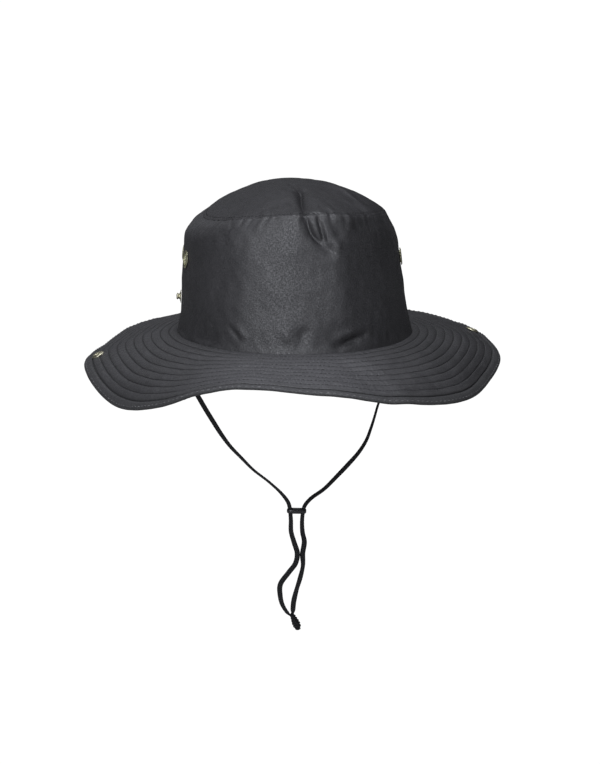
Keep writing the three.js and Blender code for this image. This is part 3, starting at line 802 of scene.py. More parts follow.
def thread_material(name, dark, light):
    """Twisted sewing thread, a little glossier than the cloth."""
    material, net, shader = new_material(name)
    place = net.place()
    handled = placed(net, "handling", Place=place, Size=0.006, Lint=0.2)
    twist = net.streaks(place, (2600.0, 2600.0, 5200.0), 1.0)
    colour = net.mixed(handled["Fade"], dark, light)
    net.send(shader, Base_Color=net.mixed(handled["Lint"], colour, (0.12, 0.12, 0.12, 1)),
             Roughness=net.span(twist, 0.3, 0.7, 0.5, 0.65), Normal=net.bump(twist, 0.0001))
    return material


def brass_material(name, ground, bright, dark, rim):
    """Antique brass: tarnished ground, dark in its hollows and brighter where its rim is rubbed."""
    material, net, shader = new_material(name)
    place = net.place()
    old = placed(net, "tarnish", Place=place, Patch_size=0.0016)
    rubbed = placed(net, "rubbed edge", Place=place, Start=0.5, Full=rim, Patch_size=0.001)
    colour = net.mixed(old["Dark"], ground, dark)
    colour = net.mixed(net.times(rubbed["Hollow"], 0.8), colour, (0.03, 0.027, 0.018, 1))
    rough = net.math("MULTIPLY_ADD", old["Dark"], 0.2, 0.3)
    rough = net.math("MULTIPLY_ADD", rubbed["Rub"], -0.1, rough)
    rough = net.math("MULTIPLY_ADD", old["Scratches"], 0.12, rough)
    net.send(shader, Base_Color=net.mixed(rubbed["Rub"], colour, bright), Roughness=rough,
             Metallic=1.0, Normal=net.bump(old["Scratches"], 0.00004))
    return material


def braid_material():
    """Flat black braid: slanting yarns that meet in a herringbone along its middle."""
    material, net, shader = new_material("cord braid")
    lie, place = net.laid("braid"), net.place()
    handled = placed(net, "handling", Place=place, Size=0.012, Lint=0.35)
    rubbed = placed(net, "rubbed edge", Place=place, Start=0.5, Full=0.6, Patch_size=0.002)
    round_lace, along = net.parts(lie)[:2]
    across = net.math("PINGPONG", round_lace, LACE_WIDTH / 2)
    step = net.math("DIVIDE", along, BRAID_PITCH * 0.7)
    slant = net.math("MULTIPLY_ADD", across, 3 / LACE_WIDTH, step)
    yarn = net.math("ABSOLUTE", net.math("SINE", net.times(slant, math.pi)))
    # Painted shade and light: the colour is darker between the yarns and lighter on their crowns, over
    # random fibre streaks
    fibres_and_yarn_shade = net.times(net.streaks(lie, (5200.0, 900.0, 1.0), 2.0, 0.6),
                       net.span(yarn, 0.0, 0.8, 0.25, 1.3))
    colour = net.mixed(fibres_and_yarn_shade, (0.0012, 0.0012, 0.0014, 1), (0.016, 0.016, 0.017, 1))
    colour = net.mixed(net.times(rubbed["Rub"], 0.3), colour, (0.024, 0.024, 0.026, 1))
    net.send(shader, Base_Color=net.mixed(handled["Lint"], colour, (0.07, 0.07, 0.07, 1)),
             Roughness=net.span(fibres_and_yarn_shade, 0.2, 0.8, 0.8, 0.5), Normal=net.bump(fibres_and_yarn_shade, 0.0003),
             Sheen_Weight=0.02, Specular_IOR_Level=0.22)
    return material


def plastic_material():
    """Black satin plastic, finely scuffed on its corners."""
    material, net, shader = new_material("slider plastic")
    place = net.place()
    rubbed = placed(net, "rubbed edge", Place=place, Start=0.52, Full=0.64, Patch_size=0.0012)
    old = placed(net, "tarnish", Place=place, Patch_size=0.003)
    colour = net.mixed(old["Dark"], (0.004, 0.004, 0.0045, 1), (0.009, 0.009, 0.01, 1))
    scuffed = net.math("MULTIPLY_ADD", rubbed["Rub"], 0.12, 0.16)
    net.send(shader, Base_Color=net.mixed(rubbed["Rub"], colour, (0.04, 0.04, 0.042, 1)),
             Roughness=net.math("MULTIPLY_ADD", old["Scratches"], 0.12, scuffed),
             Normal=net.bump(net.noise(place, 5200.0, 2.0, 0.6), 0.00003, 0.5))
    return material


def floor_material():
    """Pale studio floor. It shows white in a picture and gives the hat only a soft bounce."""
    material, net, shader = new_material("studio floor")
    net.tree.nodes.remove(shader)
    pale = net.node("ShaderNodeBsdfDiffuse", {"Color": (0.5, 0.5, 0.5, 1)}).outputs[0]
    white = net.node("ShaderNodeEmission", {"Color": (1, 1, 1, 1), "Strength": 1.05}).outputs[0]
    clear = net.node("ShaderNodeBsdfTransparent").outputs[0]
    seen = net.node("ShaderNodeLightPath").outputs["Is Camera Ray"]
    lit = net.node("ShaderNodeMixShader", {0: seen, 1: pale, 2: white}).outputs[0]
    from_below = net.node("ShaderNodeNewGeometry").outputs["Backfacing"]
    both = net.node("ShaderNodeMixShader", {0: from_below, 1: lit, 2: clear}).outputs[0]
    net.put(net.tree.nodes["Material Output"].inputs["Surface"], both)
    return material


groups = {
    "plain weave": plain_weave_group(),
    "handling": handling_group(),
    "rubbed edge": rubbed_edge_group(),
    "tarnish": tarnish_group(),
    "sewn line": sewn_line_group(),
}
DARK_CHARCOAL = (0.0045, 0.0042, 0.0048, 1)
LIGHT_CHARCOAL = (0.018, 0.017, 0.0195, 1)
RUBBED_CHARCOAL = (0.045, 0.044, 0.048, 1)
# Lighter charcoal of the painted sheen over the brim's brow
PAINTED_SHEEN_CHARCOAL = (0.042, 0.041, 0.045, 1)
# Near black that painted shade darkens the cloth towards
SHADE = (0.0012, 0.0012, 0.0013, 1)
LINT = (0.08, 0.078, 0.075, 1)
materials = {
    "crown_cloth": cloth_material("crown cloth", 1.0),
    "tip_cloth": cloth_material("tip cloth, turned off its grain", 0.7),
    "brim_cloth": cloth_material("brim cloth", 1.0, quilted),
    "thread": thread_material("sewing thread", (0.003, 0.003, 0.0032, 1), (0.010, 0.010, 0.011, 1)),
    # Painted glint: this thread is as dark as the cloth, and its pale colour paints the light that
    # catches the edge stitches
    "painted_glint_thread": thread_material("edge thread", (0.08, 0.08, 0.083, 1), (0.20, 0.20, 0.20, 1)),
    "vent_brass": brass_material(
        "vent brass", (0.52, 0.51, 0.33, 1), (0.85, 0.82, 0.58, 1), (0.24, 0.24, 0.15, 1), 0.58),
    "snap_brass": brass_material(
        "snap brass", (0.58, 0.55, 0.38, 1), (0.88, 0.85, 0.68, 1), (0.28, 0.26, 0.18, 1), 0.56),
    "screen_wire": brass_material(
        "screen wire", (0.46, 0.46, 0.32, 1), (0.72, 0.71, 0.52, 1), (0.22, 0.22, 0.15, 1), 0.6),
    "cord_braid": braid_material(),
    "slider_plastic": plastic_material(),
    "floor": floor_material(),
}


# Chin cord

def strand_route(points):
    """Smooth route of a strand. The two part a little to pass each other below the slider."""
    x, z = np.array(points).T
    apart = smoothstep(z / z[-1], *STRANDS_PART) * STRAND_OFFSET
    return np.stack([x, apart, z], -1)


def run_along(line):
    """Distance along a line at each of its points."""
    return np.concatenate([[0], np.cumsum(np.linalg.norm(np.diff(line, axis=0), axis=1))])


def read_line(values, run, at):
    """What a line's points or normals are at distances along it."""
    return np.stack([np.interp(at, run, values[:, k]) for k in range(3)], -1)


def through(points, spacing):
    """A smooth line through points (centripetal Catmull-Rom), with even steps along it."""
    ends = np.vstack([2 * points[0] - points[1], points, 2 * points[-1] - points[-2]])
    gap = np.sqrt(np.linalg.norm(np.diff(ends, axis=0), axis=1))
    knots = np.concatenate([[0], np.cumsum(gap)])
    line = []
    for i in range(1, len(ends) - 2):
        p, t = ends[i - 1:i + 3], knots[i - 1:i + 3]
        at = np.linspace(t[1], t[2], 40, endpoint=False)[:, None]
        a = [(t[j + 1] - at) / (t[j + 1] - t[j]) * p[j] + (at - t[j]) / (t[j + 1] - t[j]) * p[j + 1]
             for j in range(3)]
        b = [(t[j + 2] - at) / (t[j + 2] - t[j]) * a[j] + (at - t[j]) / (t[j + 2] - t[j]) * a[j + 1]
             for j in range(2)]
        line.append((t[2] - at) / (t[2] - t[1]) * b[0] + (at - t[1]) / (t[2] - t[1]) * b[1])
    line = np.vstack([*line, points[-1:]])
    run = run_along(line)
    at = np.linspace(0, run[-1], int(run[-1] / spacing) + 1)
    return read_line(line, run, at), at


def line_axes(line, first_side):
    """Side and normal directions along a line, carried on without twist."""
    ahead = unit(np.gradient(line, axis=0))
    sides = [first_side]
    for direction in ahead:
        side = sides[-1] - direction * (sides[-1] @ direction)
        sides.append(side / np.linalg.norm(side))
    sides = np.array(sides[1:])
    return sides, np.cross(ahead, sides)


# How far the flat of the lace has turned from the front, in degrees, along its length
Turn = namedtuple("Turn", "share angle")
LEFT_TURNS = [Turn(0, 50), Turn(0.2, 24), Turn(0.3, 29), Turn(0.36, 43), Turn(0.42, 53),
              Turn(0.49, 63), Turn(0.56, 61), Turn(0.61, 45), Turn(0.66, 46), Turn(0.72, 30),
              Turn(0.785, 2), Turn(0.86, 2), Turn(0.9, 10), Turn(0.94, 30), Turn(0.97, 44),
              Turn(1, 50)]
RIGHT_TURNS = [Turn(0, 74), Turn(0.22, 88), Turn(0.3, 80), Turn(0.36, 68), Turn(0.42, 58),
               Turn(0.46, 50), Turn(0.51, 56), Turn(0.58, 64), Turn(0.64, 58), Turn(0.7, 44),
               Turn(0.75, 22), Turn(0.79, 0), Turn(0.84, 48), Turn(0.875, 36), Turn(0.91, 46),
               Turn(0.955, 14), Turn(1, 40)]
BRAID_RELIEF = 0.0002
LACE_SIDES = 20
LACE_STEP = 0.00034
# How far before its end, inside the knot, a strand starts to narrow, and the share it loses
LACE_TAPER = 0.0055
LACE_NARROWING = 0.55


def braid_relief(along, across):
    """Height of the yarns, which slant away from the lace's middle. Both places are in yarns."""
    rising = np.abs(np.sin(math.pi * (along + across)))
    falling = np.abs(np.sin(math.pi * (along - across + 0.25)))
    left_half = smoothstep(across, -0.35, 0.35)
    return BRAID_RELIEF * 2 * (rising * left_half + falling * (1 - left_half)) - BRAID_RELIEF


def chin_cord(side, route, turns):
    """One strand of flat braid: herringbone yarns over a flattened round section."""
    line, at = through(strand_route(route) * np.array([1, 1 if side == "right" else -1, 1]), LACE_STEP)
    across, out = line_axes(line, np.array([1.0, 0, 0]))
    angle = np.radians(read_table(turns, "share", at / at[-1], "angle"))[:, None]
    flat = across * np.cos(angle) + out * np.sin(angle)
    face = out * np.cos(angle) - across * np.sin(angle)
    around = np.linspace(0, 2 * math.pi, LACE_SIDES, endpoint=False)
    half_thickness = LACE_THICKNESS / 2 - BRAID_RELIEF
    wide = LACE_WIDTH / 2 * np.sign(np.cos(around)) * np.abs(np.cos(around)) ** 0.8
    thick = half_thickness * np.sin(around)
    relief = braid_relief(at[:, None] / BRAID_PITCH, wide[None, :] / LACE_WIDTH * 4)
    high = thick[None, :] * (1 + relief / half_thickness)
    kept = 1 - LACE_NARROWING * smoothstep(at, at[-1] - LACE_TAPER, at[-1] - 0.0005)[:, None]
    points = (line[:, None] + flat[:, None] * (wide[None, :] * kept)[..., None]
              + face[:, None] * (high * (0.5 + 0.5 * kept))[..., None])
    loops = np.tile(np.arange(LACE_SIDES), len(line) - 1)
    steps = np.repeat(np.arange(len(line) - 1), LACE_SIDES)
    u = np.stack([loops, loops + 1, loops + 1, loops], -1) * (LACE_WIDTH * 2 / LACE_SIDES)
    v = at[np.stack([steps, steps, steps + 1, steps + 1], -1)]
    places = np.vstack([np.stack([u, v], -1).reshape(-1, 2), np.zeros((2 * LACE_SIDES, 2))])
    piece = finish_mesh(f"lace_{side}", points.reshape(-1, 3), tube_faces(len(line), LACE_SIDES),
                        materials["cord_braid"], {"braid": places})
    settle(outward(piece), "cord_braid", f"chin_cord_{side}")
    return piece, line[::12]


def slider_outline(grow):
    """Stadium outline of the slider bar, as x and y."""
    end = SLIDER_DEPTH / 2
    reach = SLIDER_LENGTH / 2 - end
    turns = np.linspace(-math.pi / 2, math.pi / 2, 17)
    right = [(reach + (end - grow) * math.cos(a), (end - grow) * math.sin(a)) for a in turns]
    left = [(-x, -y) for x, y in right]
    return np.array(right + left)


def slider(lines):
    """The slider bar: round-ended, with softened edges and a flared hole for each strand."""
    soft = 0.0009
    rings = []
    for angle in np.linspace(-90, 90, 10):
        outline = slider_outline(soft * (1 - math.cos(math.radians(angle))))
        height = math.copysign(SLIDER_HEIGHT / 2 - soft, angle) + soft * math.sin(math.radians(angle))
        rings.append(np.column_stack([outline, np.full(len(outline), height)]))
    for share in (0.75, 0.5, 0.25):
        inner = rings[-1].copy()
        inner[:, :2] = slider_outline(soft) * share
        rings.append(inner)
        rings.insert(0, inner * np.array([1, 1, -1]))
    faces = tube_faces(len(rings), len(rings[0]))
    piece = finish_mesh("slider_bar", np.vstack(rings), faces, materials["slider_plastic"])
    tilt = Matrix.Rotation(math.radians(SLIDER_TILT), 4, "Y")
    piece.data.transform(Matrix.Translation(SLIDER_PLACE) @ tilt)
    outward(piece)
    cut(piece, [slider_hole(line) for line in lines])
    piece.data.shade_smooth()
    return settle(piece, "slider_plastic", "cord_slider")


def slider_hole(line):
    """Cutter for one strand's hole, flared at both mouths, along the strand's own line."""
    narrow, mouth, reach = 0.00215, 0.0024, SLIDER_HEIGHT / 2 + 0.0004
    upper = [(narrow + 0.0002, reach * 0.6), (mouth, reach), (mouth + 0.0006, 2 * reach),
             (0, 2 * reach)]
    profile = [(radius, -height) for radius, height in reversed(upper)] + [(narrow, 0)] + upper
    middle = int(np.argmin(np.abs(line[:, 2] - SLIDER_PLACE.z)))
    ahead = Vector(line[middle + 1] - line[middle - 1]).normalized()
    turn = ahead.to_track_quat("Z", "Y").to_matrix().to_4x4()
    matrix = Matrix.Translation(Vector(line[middle])) @ turn
    return turned_piece("slider hole", profile, 32, matrix, materials["slider_plastic"])


def swept(line, radius_at, sides, first_side):
    """Points of a round tube whose radius changes along its line."""
    across, out = line_axes(line, first_side)
    around = np.linspace(0, 2 * math.pi, sides, endpoint=False)
    ring = across[:, None] * np.cos(around)[:, None] + out[:, None] * np.sin(around)[:, None]
    return (line[:, None] + ring * radius_at[:, None, None]).reshape(-1, 3)


def knot():
    """Drop-shaped knot of both strands: close wraps round a core, one yarn that crosses over
    them, and two short ends."""
    wrap, turns, pitch = 0.0012, 6.0, 0.00225
    sides = 14
    parts, faces = [], []

    def put(line, radius_at):
        first = sum(len(p) for p in parts)
        parts.append(swept(line, radius_at, sides, np.array([1.0, 0.2, 0.1])))
        faces.extend(tube_faces(len(line), sides, first))

    t = np.linspace(0, 1, 240)
    angle = 2 * math.pi * turns * t
    swell = 0.0009 + 0.0012 * np.sin(math.pi * t ** 1.7)
    tuck = smoothstep(t, -0.02, 0.03) * smoothstep(-t, -1, -0.95)
    coil = np.stack([swell * tuck * np.cos(angle), swell * tuck * np.sin(angle),
                     -0.0008 - turns * pitch * t], -1)
    put(coil, wrap * (0.75 + 0.25 * tuck))
    core = np.stack([0 * t, 0 * t, -0.0001 - 0.0144 * t], -1)
    put(core, (0.0007 + swell) * np.sqrt(np.clip(np.sin(math.pi * (0.1 + 0.8 * t)), 0, 1)))
    over = swell + 0.0011
    cross = np.stack([over * np.sin(1.1 * t - 0.5), -over * np.cos(1.1 * t - 0.5),
                      -0.0006 - 0.0136 * t], -1)
    put(cross, 0.0009 * np.sin(math.pi * (0.12 + 0.76 * t)) ** 0.5)
    for side, reach in ((-1, 0.0150), (1, 0.0154)):
        s = np.linspace(0, 1, 30)
        end = np.stack([side * (0.0006 + 0.0003 * s), 0.0003 * side + 0 * s,
                        -0.010 - (reach - 0.010) * s], -1)
        put(end, 0.0012 * (1 - 0.2 * s) * np.sqrt(np.clip(1 - s ** 8, 0.05, 1)))
    points = np.vstack(parts)
    piece = finish_mesh("knot_wraps", points, faces, materials["cord_braid"])
    places = np.column_stack([np.arctan2(points[:, 1], points[:, 0]) * 0.003, points[:, 2]])
    corners = np.array([loop.vertex_index for loop in piece.data.loops])
    braid = piece.data.uv_layers.new(name="braid").uv
    braid.foreach_set("vector", places[corners].astype(np.float32).ravel())
    tilt = Matrix.Rotation(math.radians(-KNOT_TILT), 4, "Y")
    piece.data.transform(Matrix.Translation(KNOT_PLACE) @ tilt)
    return settle(piece, "cord_braid", "cord_knot")


def make_cords():
    left, left_line = chin_cord("left", LEFT_STRAND, LEFT_TURNS)
    right, right_line = chin_cord("right", RIGHT_STRAND, RIGHT_TURNS)
    bar = slider([left_line, right_line])
    ends = knot()


# Crown

CROWN_COLUMNS = 480
TIP_TOPSTITCH = 0.0028
BACK_TOPSTITCH = 0.0030
# How many sines make one of the cloth's random heights
WAVES = 18


def columns_from_back(count):
    """Directions round the head, from the seam at the back all the way round to it again."""
    return BACK + np.linspace(0, 360, count, endpoint=False)


def turned_from(direction, middle):
    """Degrees from a direction of the hat, between -180 and 180."""
    return (direction - middle + 180) % 360 - 180


def from_back_seam(direction, radius):
    """Distance round the cloth from the seam at the back."""
    return np.abs(np.radians(turned_from(direction, BACK))) * radius


def furrow(away, depth, width, sharpness=2.0):
    """A narrow valley in cloth, at a distance away from its middle."""
    return depth * np.exp(-(np.abs(away) / width) ** sharpness)


def away_from_hardware(points, near, far):
    """0 close to a vent or snap of the crown and 1 away from them."""
    calm = np.ones(points.shape[:-1])
    for item in [*VENTS, *CROWN_SNAPS]:
        middle = wall_point(item.direction, item.height / seam_height(item.direction))
        calm = np.minimum(calm, smoothstep(np.linalg.norm(points - middle, axis=-1), near, far))
    return calm


def crown_relief(direction, up):
    """Fine shape of the cloth beyond the folds: wrinkles, puckers at the seams and their valleys.
    A positive relief goes into the cloth."""
    direction, up = alike(direction, up)
    points = smooth_crown(direction, up)
    height = np.where(up <= 1, points[..., 2], SEAM_HEIGHT_FRONT + (up - 1) * 0.08)
    from_tip_seam = np.abs(up - 1) * np.where(up <= 1, seam_height(direction), TIP_REACH)
    calm = away_from_hardware(points, 0.007, 0.018)
    wrinkles = 0.00050 * crown_wrinkles["broad"](points) + 0.00018 * crown_wrinkles["fine"](points)
    places = np.stack([np.radians(direction) * GIRTH_RADIUS, height * 0.25], -1)
    puckers = crown_wrinkles["seam"](places) * 0.0004 * np.exp(-from_tip_seam / 0.006)
    foot = crown_wrinkles["foot"](places) * 0.00035 * np.exp(-np.maximum(points[..., 2], 0) / 0.007)
    foot = np.where(up <= 1, foot, 0)
    settled = np.where(up <= 1, smoothstep(points[..., 2], -0.0005, 0.005), 1)
    tip_seam = furrow(from_tip_seam, 0.0005, 0.0007, 1.2)
    tip_seam = tip_seam + furrow((up - 1) * TIP_REACH - TIP_TOPSTITCH, 0.00035, 0.0005)
    back = from_back_seam(direction, BACK_RADIUS)
    back_seam = furrow(back, 0.0007, 0.0008, 1.2) + furrow(back - BACK_TOPSTITCH, 0.0003, 0.0005)
    on_wall = smoothstep(-up, -1.0, -0.97)
    return (wrinkles + puckers + foot) * calm * settled + tip_seam + back_seam * on_wall


def wave_of(length, dimensions):
    """A fixed smooth random height over places, about -1 to 1."""
    wave = chance.normal(size=(WAVES, dimensions)) / length
    start = chance.uniform(0, 2 * math.pi, WAVES)
    return lambda places: np.sin(places @ wave.T + start).sum(-1) / math.sqrt(WAVES)


crown_wrinkles = {
    "broad": wave_of(0.011, 3),
    "fine": wave_of(0.0032, 3),
    "seam": wave_of(0.0018, 2),
    "foot": wave_of(0.0024, 2),
}


def crown_cloth(direction, up, inset=0.0, outside=True):
    """A point of the finished crown cloth. Inside it is plainer than outside."""
    relief = crown_relief(direction, up)
    folds = FRAME_FOLDS + FINE_FOLDS
    return crown_point(direction, up, inset, relief if outside else relief * 0.6, folds)


def crown_wall():
    """One band of cloth, with a turned seam allowance inside its foot."""
    columns = columns_from_back(CROWN_COLUMNS)
    below_seam = np.array([0, 0.0002, 0.0005, 0.0009, 0.0014, 0.002, 0.003, 0.004])
    near_seam = 1 - below_seam[::-1] / SEAM_HEIGHT_FRONT
    outside = np.concatenate([[0, 0.006, 0.014, 0.024], np.linspace(0.035, 0.95, 84), near_seam])
    inside = np.concatenate([[1, 0.99], np.linspace(0.97, 0.14, 30)])
    direction = columns[:, None]
    outer = crown_cloth(direction, outside[None, :])
    inner = crown_cloth(direction, inside[None, :], CLOTH, outside=False)

    def ring(inset, height):
        line = wall_point(columns, max(height, 0) / SEAM_HEIGHT_FRONT, inset)
        line[:, 2] = height
        return line[:, None]

    hem, foot, soft = ALLOWANCE_HEIGHT, -BRIM_THICKNESS, 0.0005
    points = np.concatenate([
        ring(soft, foot), ring(0, foot + soft), outer, inner, ring(2 * CLOTH, hem + 0.0010),
        ring(SEAM_ALLOWANCE, hem + 0.0003), ring(SEAM_ALLOWANCE, hem - 0.0010),
        ring(SEAM_ALLOWANCE, foot + soft), ring(SEAM_ALLOWANCE - soft, foot),
    ], axis=1)
    # Places up the cloth: up the outside, then on down the inside and the allowance
    heights = np.concatenate([
        [-0.0025, -0.002], outside * SEAM_HEIGHT_FRONT, 0.2 - inside * SEAM_HEIGHT_FRONT,
        [0.19, 0.191, 0.193, 0.203, 0.204, 0.205],
    ])
    girth = np.radians(np.linspace(0, 360, CROWN_COLUMNS + 1)) * GIRTH_RADIUS
    lie = np.stack(np.broadcast_arrays(girth[:, None], heights[None, :]), -1)
    piece = ring_piece("crown_wall_cloth", points, materials["crown_cloth"], {"cloth": lie})
    holes = [drill(VENT_HOLE_RADIUS, vent_frame(vent)) for vent in VENTS]
    holes += [drill(SNAP_HOLE_RADIUS, vent_frame(snap)) for snap in CROWN_SNAPS]
    cut(piece, holes)
    return settle(piece, "crown_cloth", "crown_wall")


def vent_frame(item):
    """Where a vent or snap stands on the crown, as the frame has it."""
    up = item.height / float(seam_height(item.direction))
    return surface_frame(crown_point, item.direction, up, FRAME_STEP_UP)


def crown_tip():
    """The oval of cloth on top, which meets the wall on a mitred edge."""
    columns = columns_from_back(CROWN_COLUMNS)
    from_seam = np.array([0, 0.0002, 0.0005, 0.0009, 0.0014, 0.0019, 0.0023, 0.0028, 0.0033, 0.004])
    outside = np.concatenate([from_seam / TIP_REACH, np.linspace(0.066, 0.97, 62)])
    inside = np.linspace(0, 0.97, 20)
    outer = crown_cloth(columns[:, None], 1 + outside[None, :])
    inner = crown_cloth(columns[:, None], 1 + inside[None, :], CLOTH, outside=False)
    rings = np.concatenate([outer[:, ::-1], inner], axis=1)
    count, rows = rings.shape[:2]
    points = np.vstack([rings.reshape(-1, 3), rings[:, :1].mean(0), rings[:, -1:].mean(0)])
    c, r = np.meshgrid(np.arange(count), np.arange(rows - 1), indexing="ij")
    corners = [(c, r), ((c + 1) % count, r), ((c + 1) % count, r + 1), (c, r + 1)]
    quads = np.stack([i * rows + j for i, j in corners], -1).reshape(-1, 4).tolist()
    top, bottom = count * rows, count * rows + 1
    quads += [[top, ((i + 1) % count) * rows, i * rows] for i in range(count)]
    quads += [[bottom, i * rows + rows - 1, ((i + 1) % count) * rows + rows - 1] for i in range(count)]
    corner_places = np.array([v for face in quads for v in face])
    piece = finish_mesh("crown_tip_cloth", points, quads, materials["tip_cloth"],
                        {"cloth": points[corner_places, :2]})
    return settle(outward(piece), "crown_cloth", "crown_tip")


# Brim

BRIM_COLUMNS = 500
PUFF = 0.0006
BAND_PUFF = 0.0007
BAND_GROOVE = 0.0007
EDGE_ROUND = 0.0016
BROW = 268
BROW_SPREAD = 28
brim_waver = {"broad": wave_of(0.010, 3), "fine": wave_of(0.0040, 3), "row": wave_of(0.012, 2)}


def row_shift(direction):
    """How far the sewn rows wander from their true rings."""
    angle = np.radians(direction)
    return 0.0003 * brim_waver["row"](np.stack([np.cos(angle), np.sin(angle)], -1) * 0.1)


def brim_relief(direction, from_seam):
    """How far the quilted cloth stands proud of a plain brim. Over the brow it is pulled flatter."""
    at = from_seam - row_shift(direction)
    lines = np.concatenate([[0.0], stitch_rows[::-1]])
    away = np.min(np.abs(at[..., None] - lines), axis=-1)
    inside = np.clip(away / (ROW_PITCH / 2), 0, 1)
    slack = 1 - furrow(turned_from(direction, BROW), 0.6, BROW_SPREAD)
    quilt = PUFF * slack * (np.sin(math.pi / 2 * inside) ** 0.55 - 0.6)
    band = np.clip((at - stitch_rows[0]) / EDGE_BAND, 0, 1)
    padded = BAND_PUFF * slack * np.sin(math.pi * band) ** 0.5
    relief = np.where(at > stitch_rows[0], padded - 0.6 * PUFF, quilt)
    relief = relief - furrow(at - stitch_rows[0], BAND_GROOVE, 0.0007)
    return relief - furrow(from_back_seam(direction, BACK_RADIUS + from_seam), 0.0006, 0.0009, 1.2)


def brim_cloth(direction, from_seam, side):
    """A point of the finished brim. Side is 1 on top and -1 underneath."""
    direction, from_seam = alike(direction, from_seam)
    top = brim_top(direction, from_seam)
    half = BRIM_THICKNESS / 2
    to_edge = np.clip((from_seam - BRIM_WIDTH + EDGE_ROUND) / EDGE_ROUND, 0, 1)
    rounded = np.sqrt(1 - to_edge ** 2)
    relief = brim_relief(direction, from_seam) * rounded
    free = smoothstep(from_seam, 0.002, 0.02)
    waver = (0.0004 * brim_waver["broad"](top) + 0.00012 * brim_waver["fine"](top)) * free
    below = half - side * (half * rounded + relief) - waver
    return brim_point(direction, from_seam, below)


def brim():
    """Two plies sewn together in rings, with a padded band at the edge."""
    columns = columns_from_back(BRIM_COLUMNS)
    # Rings of points lie close together where the cloth is sewn and at its edge
    from_row = np.array([-0.0018, -0.0009, -0.00045, 0, 0.00045, 0.0009, 0.0018, ROW_PITCH / 2])
    from_last = np.array([-0.0018, -0.001, -0.0006, -0.0003, 0, 0.0003, 0.0007, 0.0014, 0.0026])
    from_edge = np.array([0.0044, 0.0034, 0.0026, 0.002, 0.0015, 0.001, 0.0006, 0.0003, 0.0001])
    places = np.concatenate([
        [-0.0006, 0.0003, 0.0008, 0.0016, 0.003], (stitch_rows[1:, None] + from_row).ravel(),
        stitch_rows[0] + from_last, BRIM_WIDTH - from_edge,
    ])
    places = np.unique(np.round(places, 6))
    direction = columns[:, None]
    top = brim_cloth(direction, places[None, :], 1)
    edge = brim_cloth(direction, np.array([[BRIM_WIDTH]]), 1)
    bottom = brim_cloth(direction, places[None, ::-1], -1)
    points = np.concatenate([top, edge, bottom], axis=1)
    flat = np.concatenate([points, points[:, :1]], axis=1)
    flat = np.concatenate([flat, flat[:1]], axis=0)[..., :2]
    ring = np.radians(np.linspace(0, 360, BRIM_COLUMNS + 1)) * BRIM_RADIUS
    along = np.concatenate([places, [BRIM_WIDTH], 2 * BRIM_WIDTH - places[::-1], [2 * BRIM_WIDTH]])
    wander = row_shift(np.concatenate([columns, columns[:1]]))[:, None]
    wander = np.where(along[None, :] > BRIM_WIDTH, wander, -wander)
    rows = np.stack(np.broadcast_arrays(ring[:, None], along[None, :] + wander), -1)
    piece = ring_piece("brim_cloth", points, materials["brim_cloth"], {"cloth": flat, "rows": rows})
    cut(piece, [drill(SNAP_HOLE_RADIUS, brim_snap_frame(snap)) for snap in BRIM_SNAPS])
    return settle(piece, "brim_cloth", "brim")


def brim_snap_frame(snap):
    return surface_frame(brim_top, snap.direction, snap.from_seam, -FRAME_STEP_BRIM)


# Stitches

STITCH_LENGTH = 0.0024
STITCH_PITCH = 0.0031
THREAD_THICKNESS = 0.00042
THREAD_LIFT = 0.00012
EDGE_TOPSTITCH = 0.0024
EDGE_STITCH_PITCH = 0.0048
NORMAL_STEP_UP = 0.01


def stitches_along(line, normals, closed=True, pitch=STITCH_PITCH):
    """Middles and axes of the stitches of one row along a line on the cloth."""
    if closed:
        line, normals = np.vstack([line, line[:1]]), np.vstack([normals, normals[:1]])
    run = run_along(line)
    count = max(2, int(run[-1] / pitch))
    at = (np.arange(count) + 0.5) * run[-1] / count + chance.normal(0, 0.00008, count)
    middle, before, after = (read_line(line, run, at + shift) for shift in (0, -0.0008, 0.0008))
    normal = unit(read_line(normals, run, at))
    ahead = unit(after - before)
    side = unit(np.cross(normal, ahead))
    skew = chance.normal(0.06, 0.05, count)[:, None]
    ahead = unit(ahead + side * skew)
    side = unit(np.cross(normal, ahead))
    return middle, ahead, side, np.cross(ahead, side)


def stitch_piece(name, rows, slot, thread="thread"):
    """All stitches of several rows as one mesh: short bowed threads whose ends dive into the cloth."""
    shares = np.array([-0.5, -0.36, 0.0, 0.36, 0.5])
    sizes = np.array([0.25, 0.85, 1.0, 0.85, 0.25])
    dives = np.array([-0.9, -0.15, 0.15, -0.15, -0.9])
    sides = 6
    around = np.linspace(0, 2 * math.pi, sides, endpoint=False)
    along = np.repeat(shares * STITCH_LENGTH, sides)
    half = THREAD_THICKNESS / 2
    wide = (sizes[:, None] * np.cos(around) * half).ravel()
    high = (sizes[:, None] * np.sin(around) * half + dives[:, None] * half).ravel()
    middle, ahead, side, normal = (np.vstack(part) for part in zip(*rows))
    points = (middle[:, None] + ahead[:, None] * along[:, None] + side[:, None] * wide[:, None]
              + normal[:, None] * high[:, None])
    template = tube_faces(len(shares), sides)
    quads = np.array(template[:-2])
    caps = np.array(template[-2:])
    first = (np.arange(len(middle)) * len(along))[:, None, None]
    faces = (quads + first).reshape(-1, 4).tolist() + (caps + first).reshape(-1, sides).tolist()
    piece = finish_mesh(name, points.reshape(-1, 3), faces, materials[thread])
    return settle(outward(piece), slot)


def sewn_row(cloth, plain, direction, place, step, side=1, **spacing):
    """Stitches of a row that lies on cloth. The plain surface gives the way out of the cloth, and
    side is -1 underneath."""
    normal = side * surface_axes(plain, direction, place, step)[2]
    return stitches_along(cloth(direction, place) + normal * THREAD_LIFT, normal, **spacing)


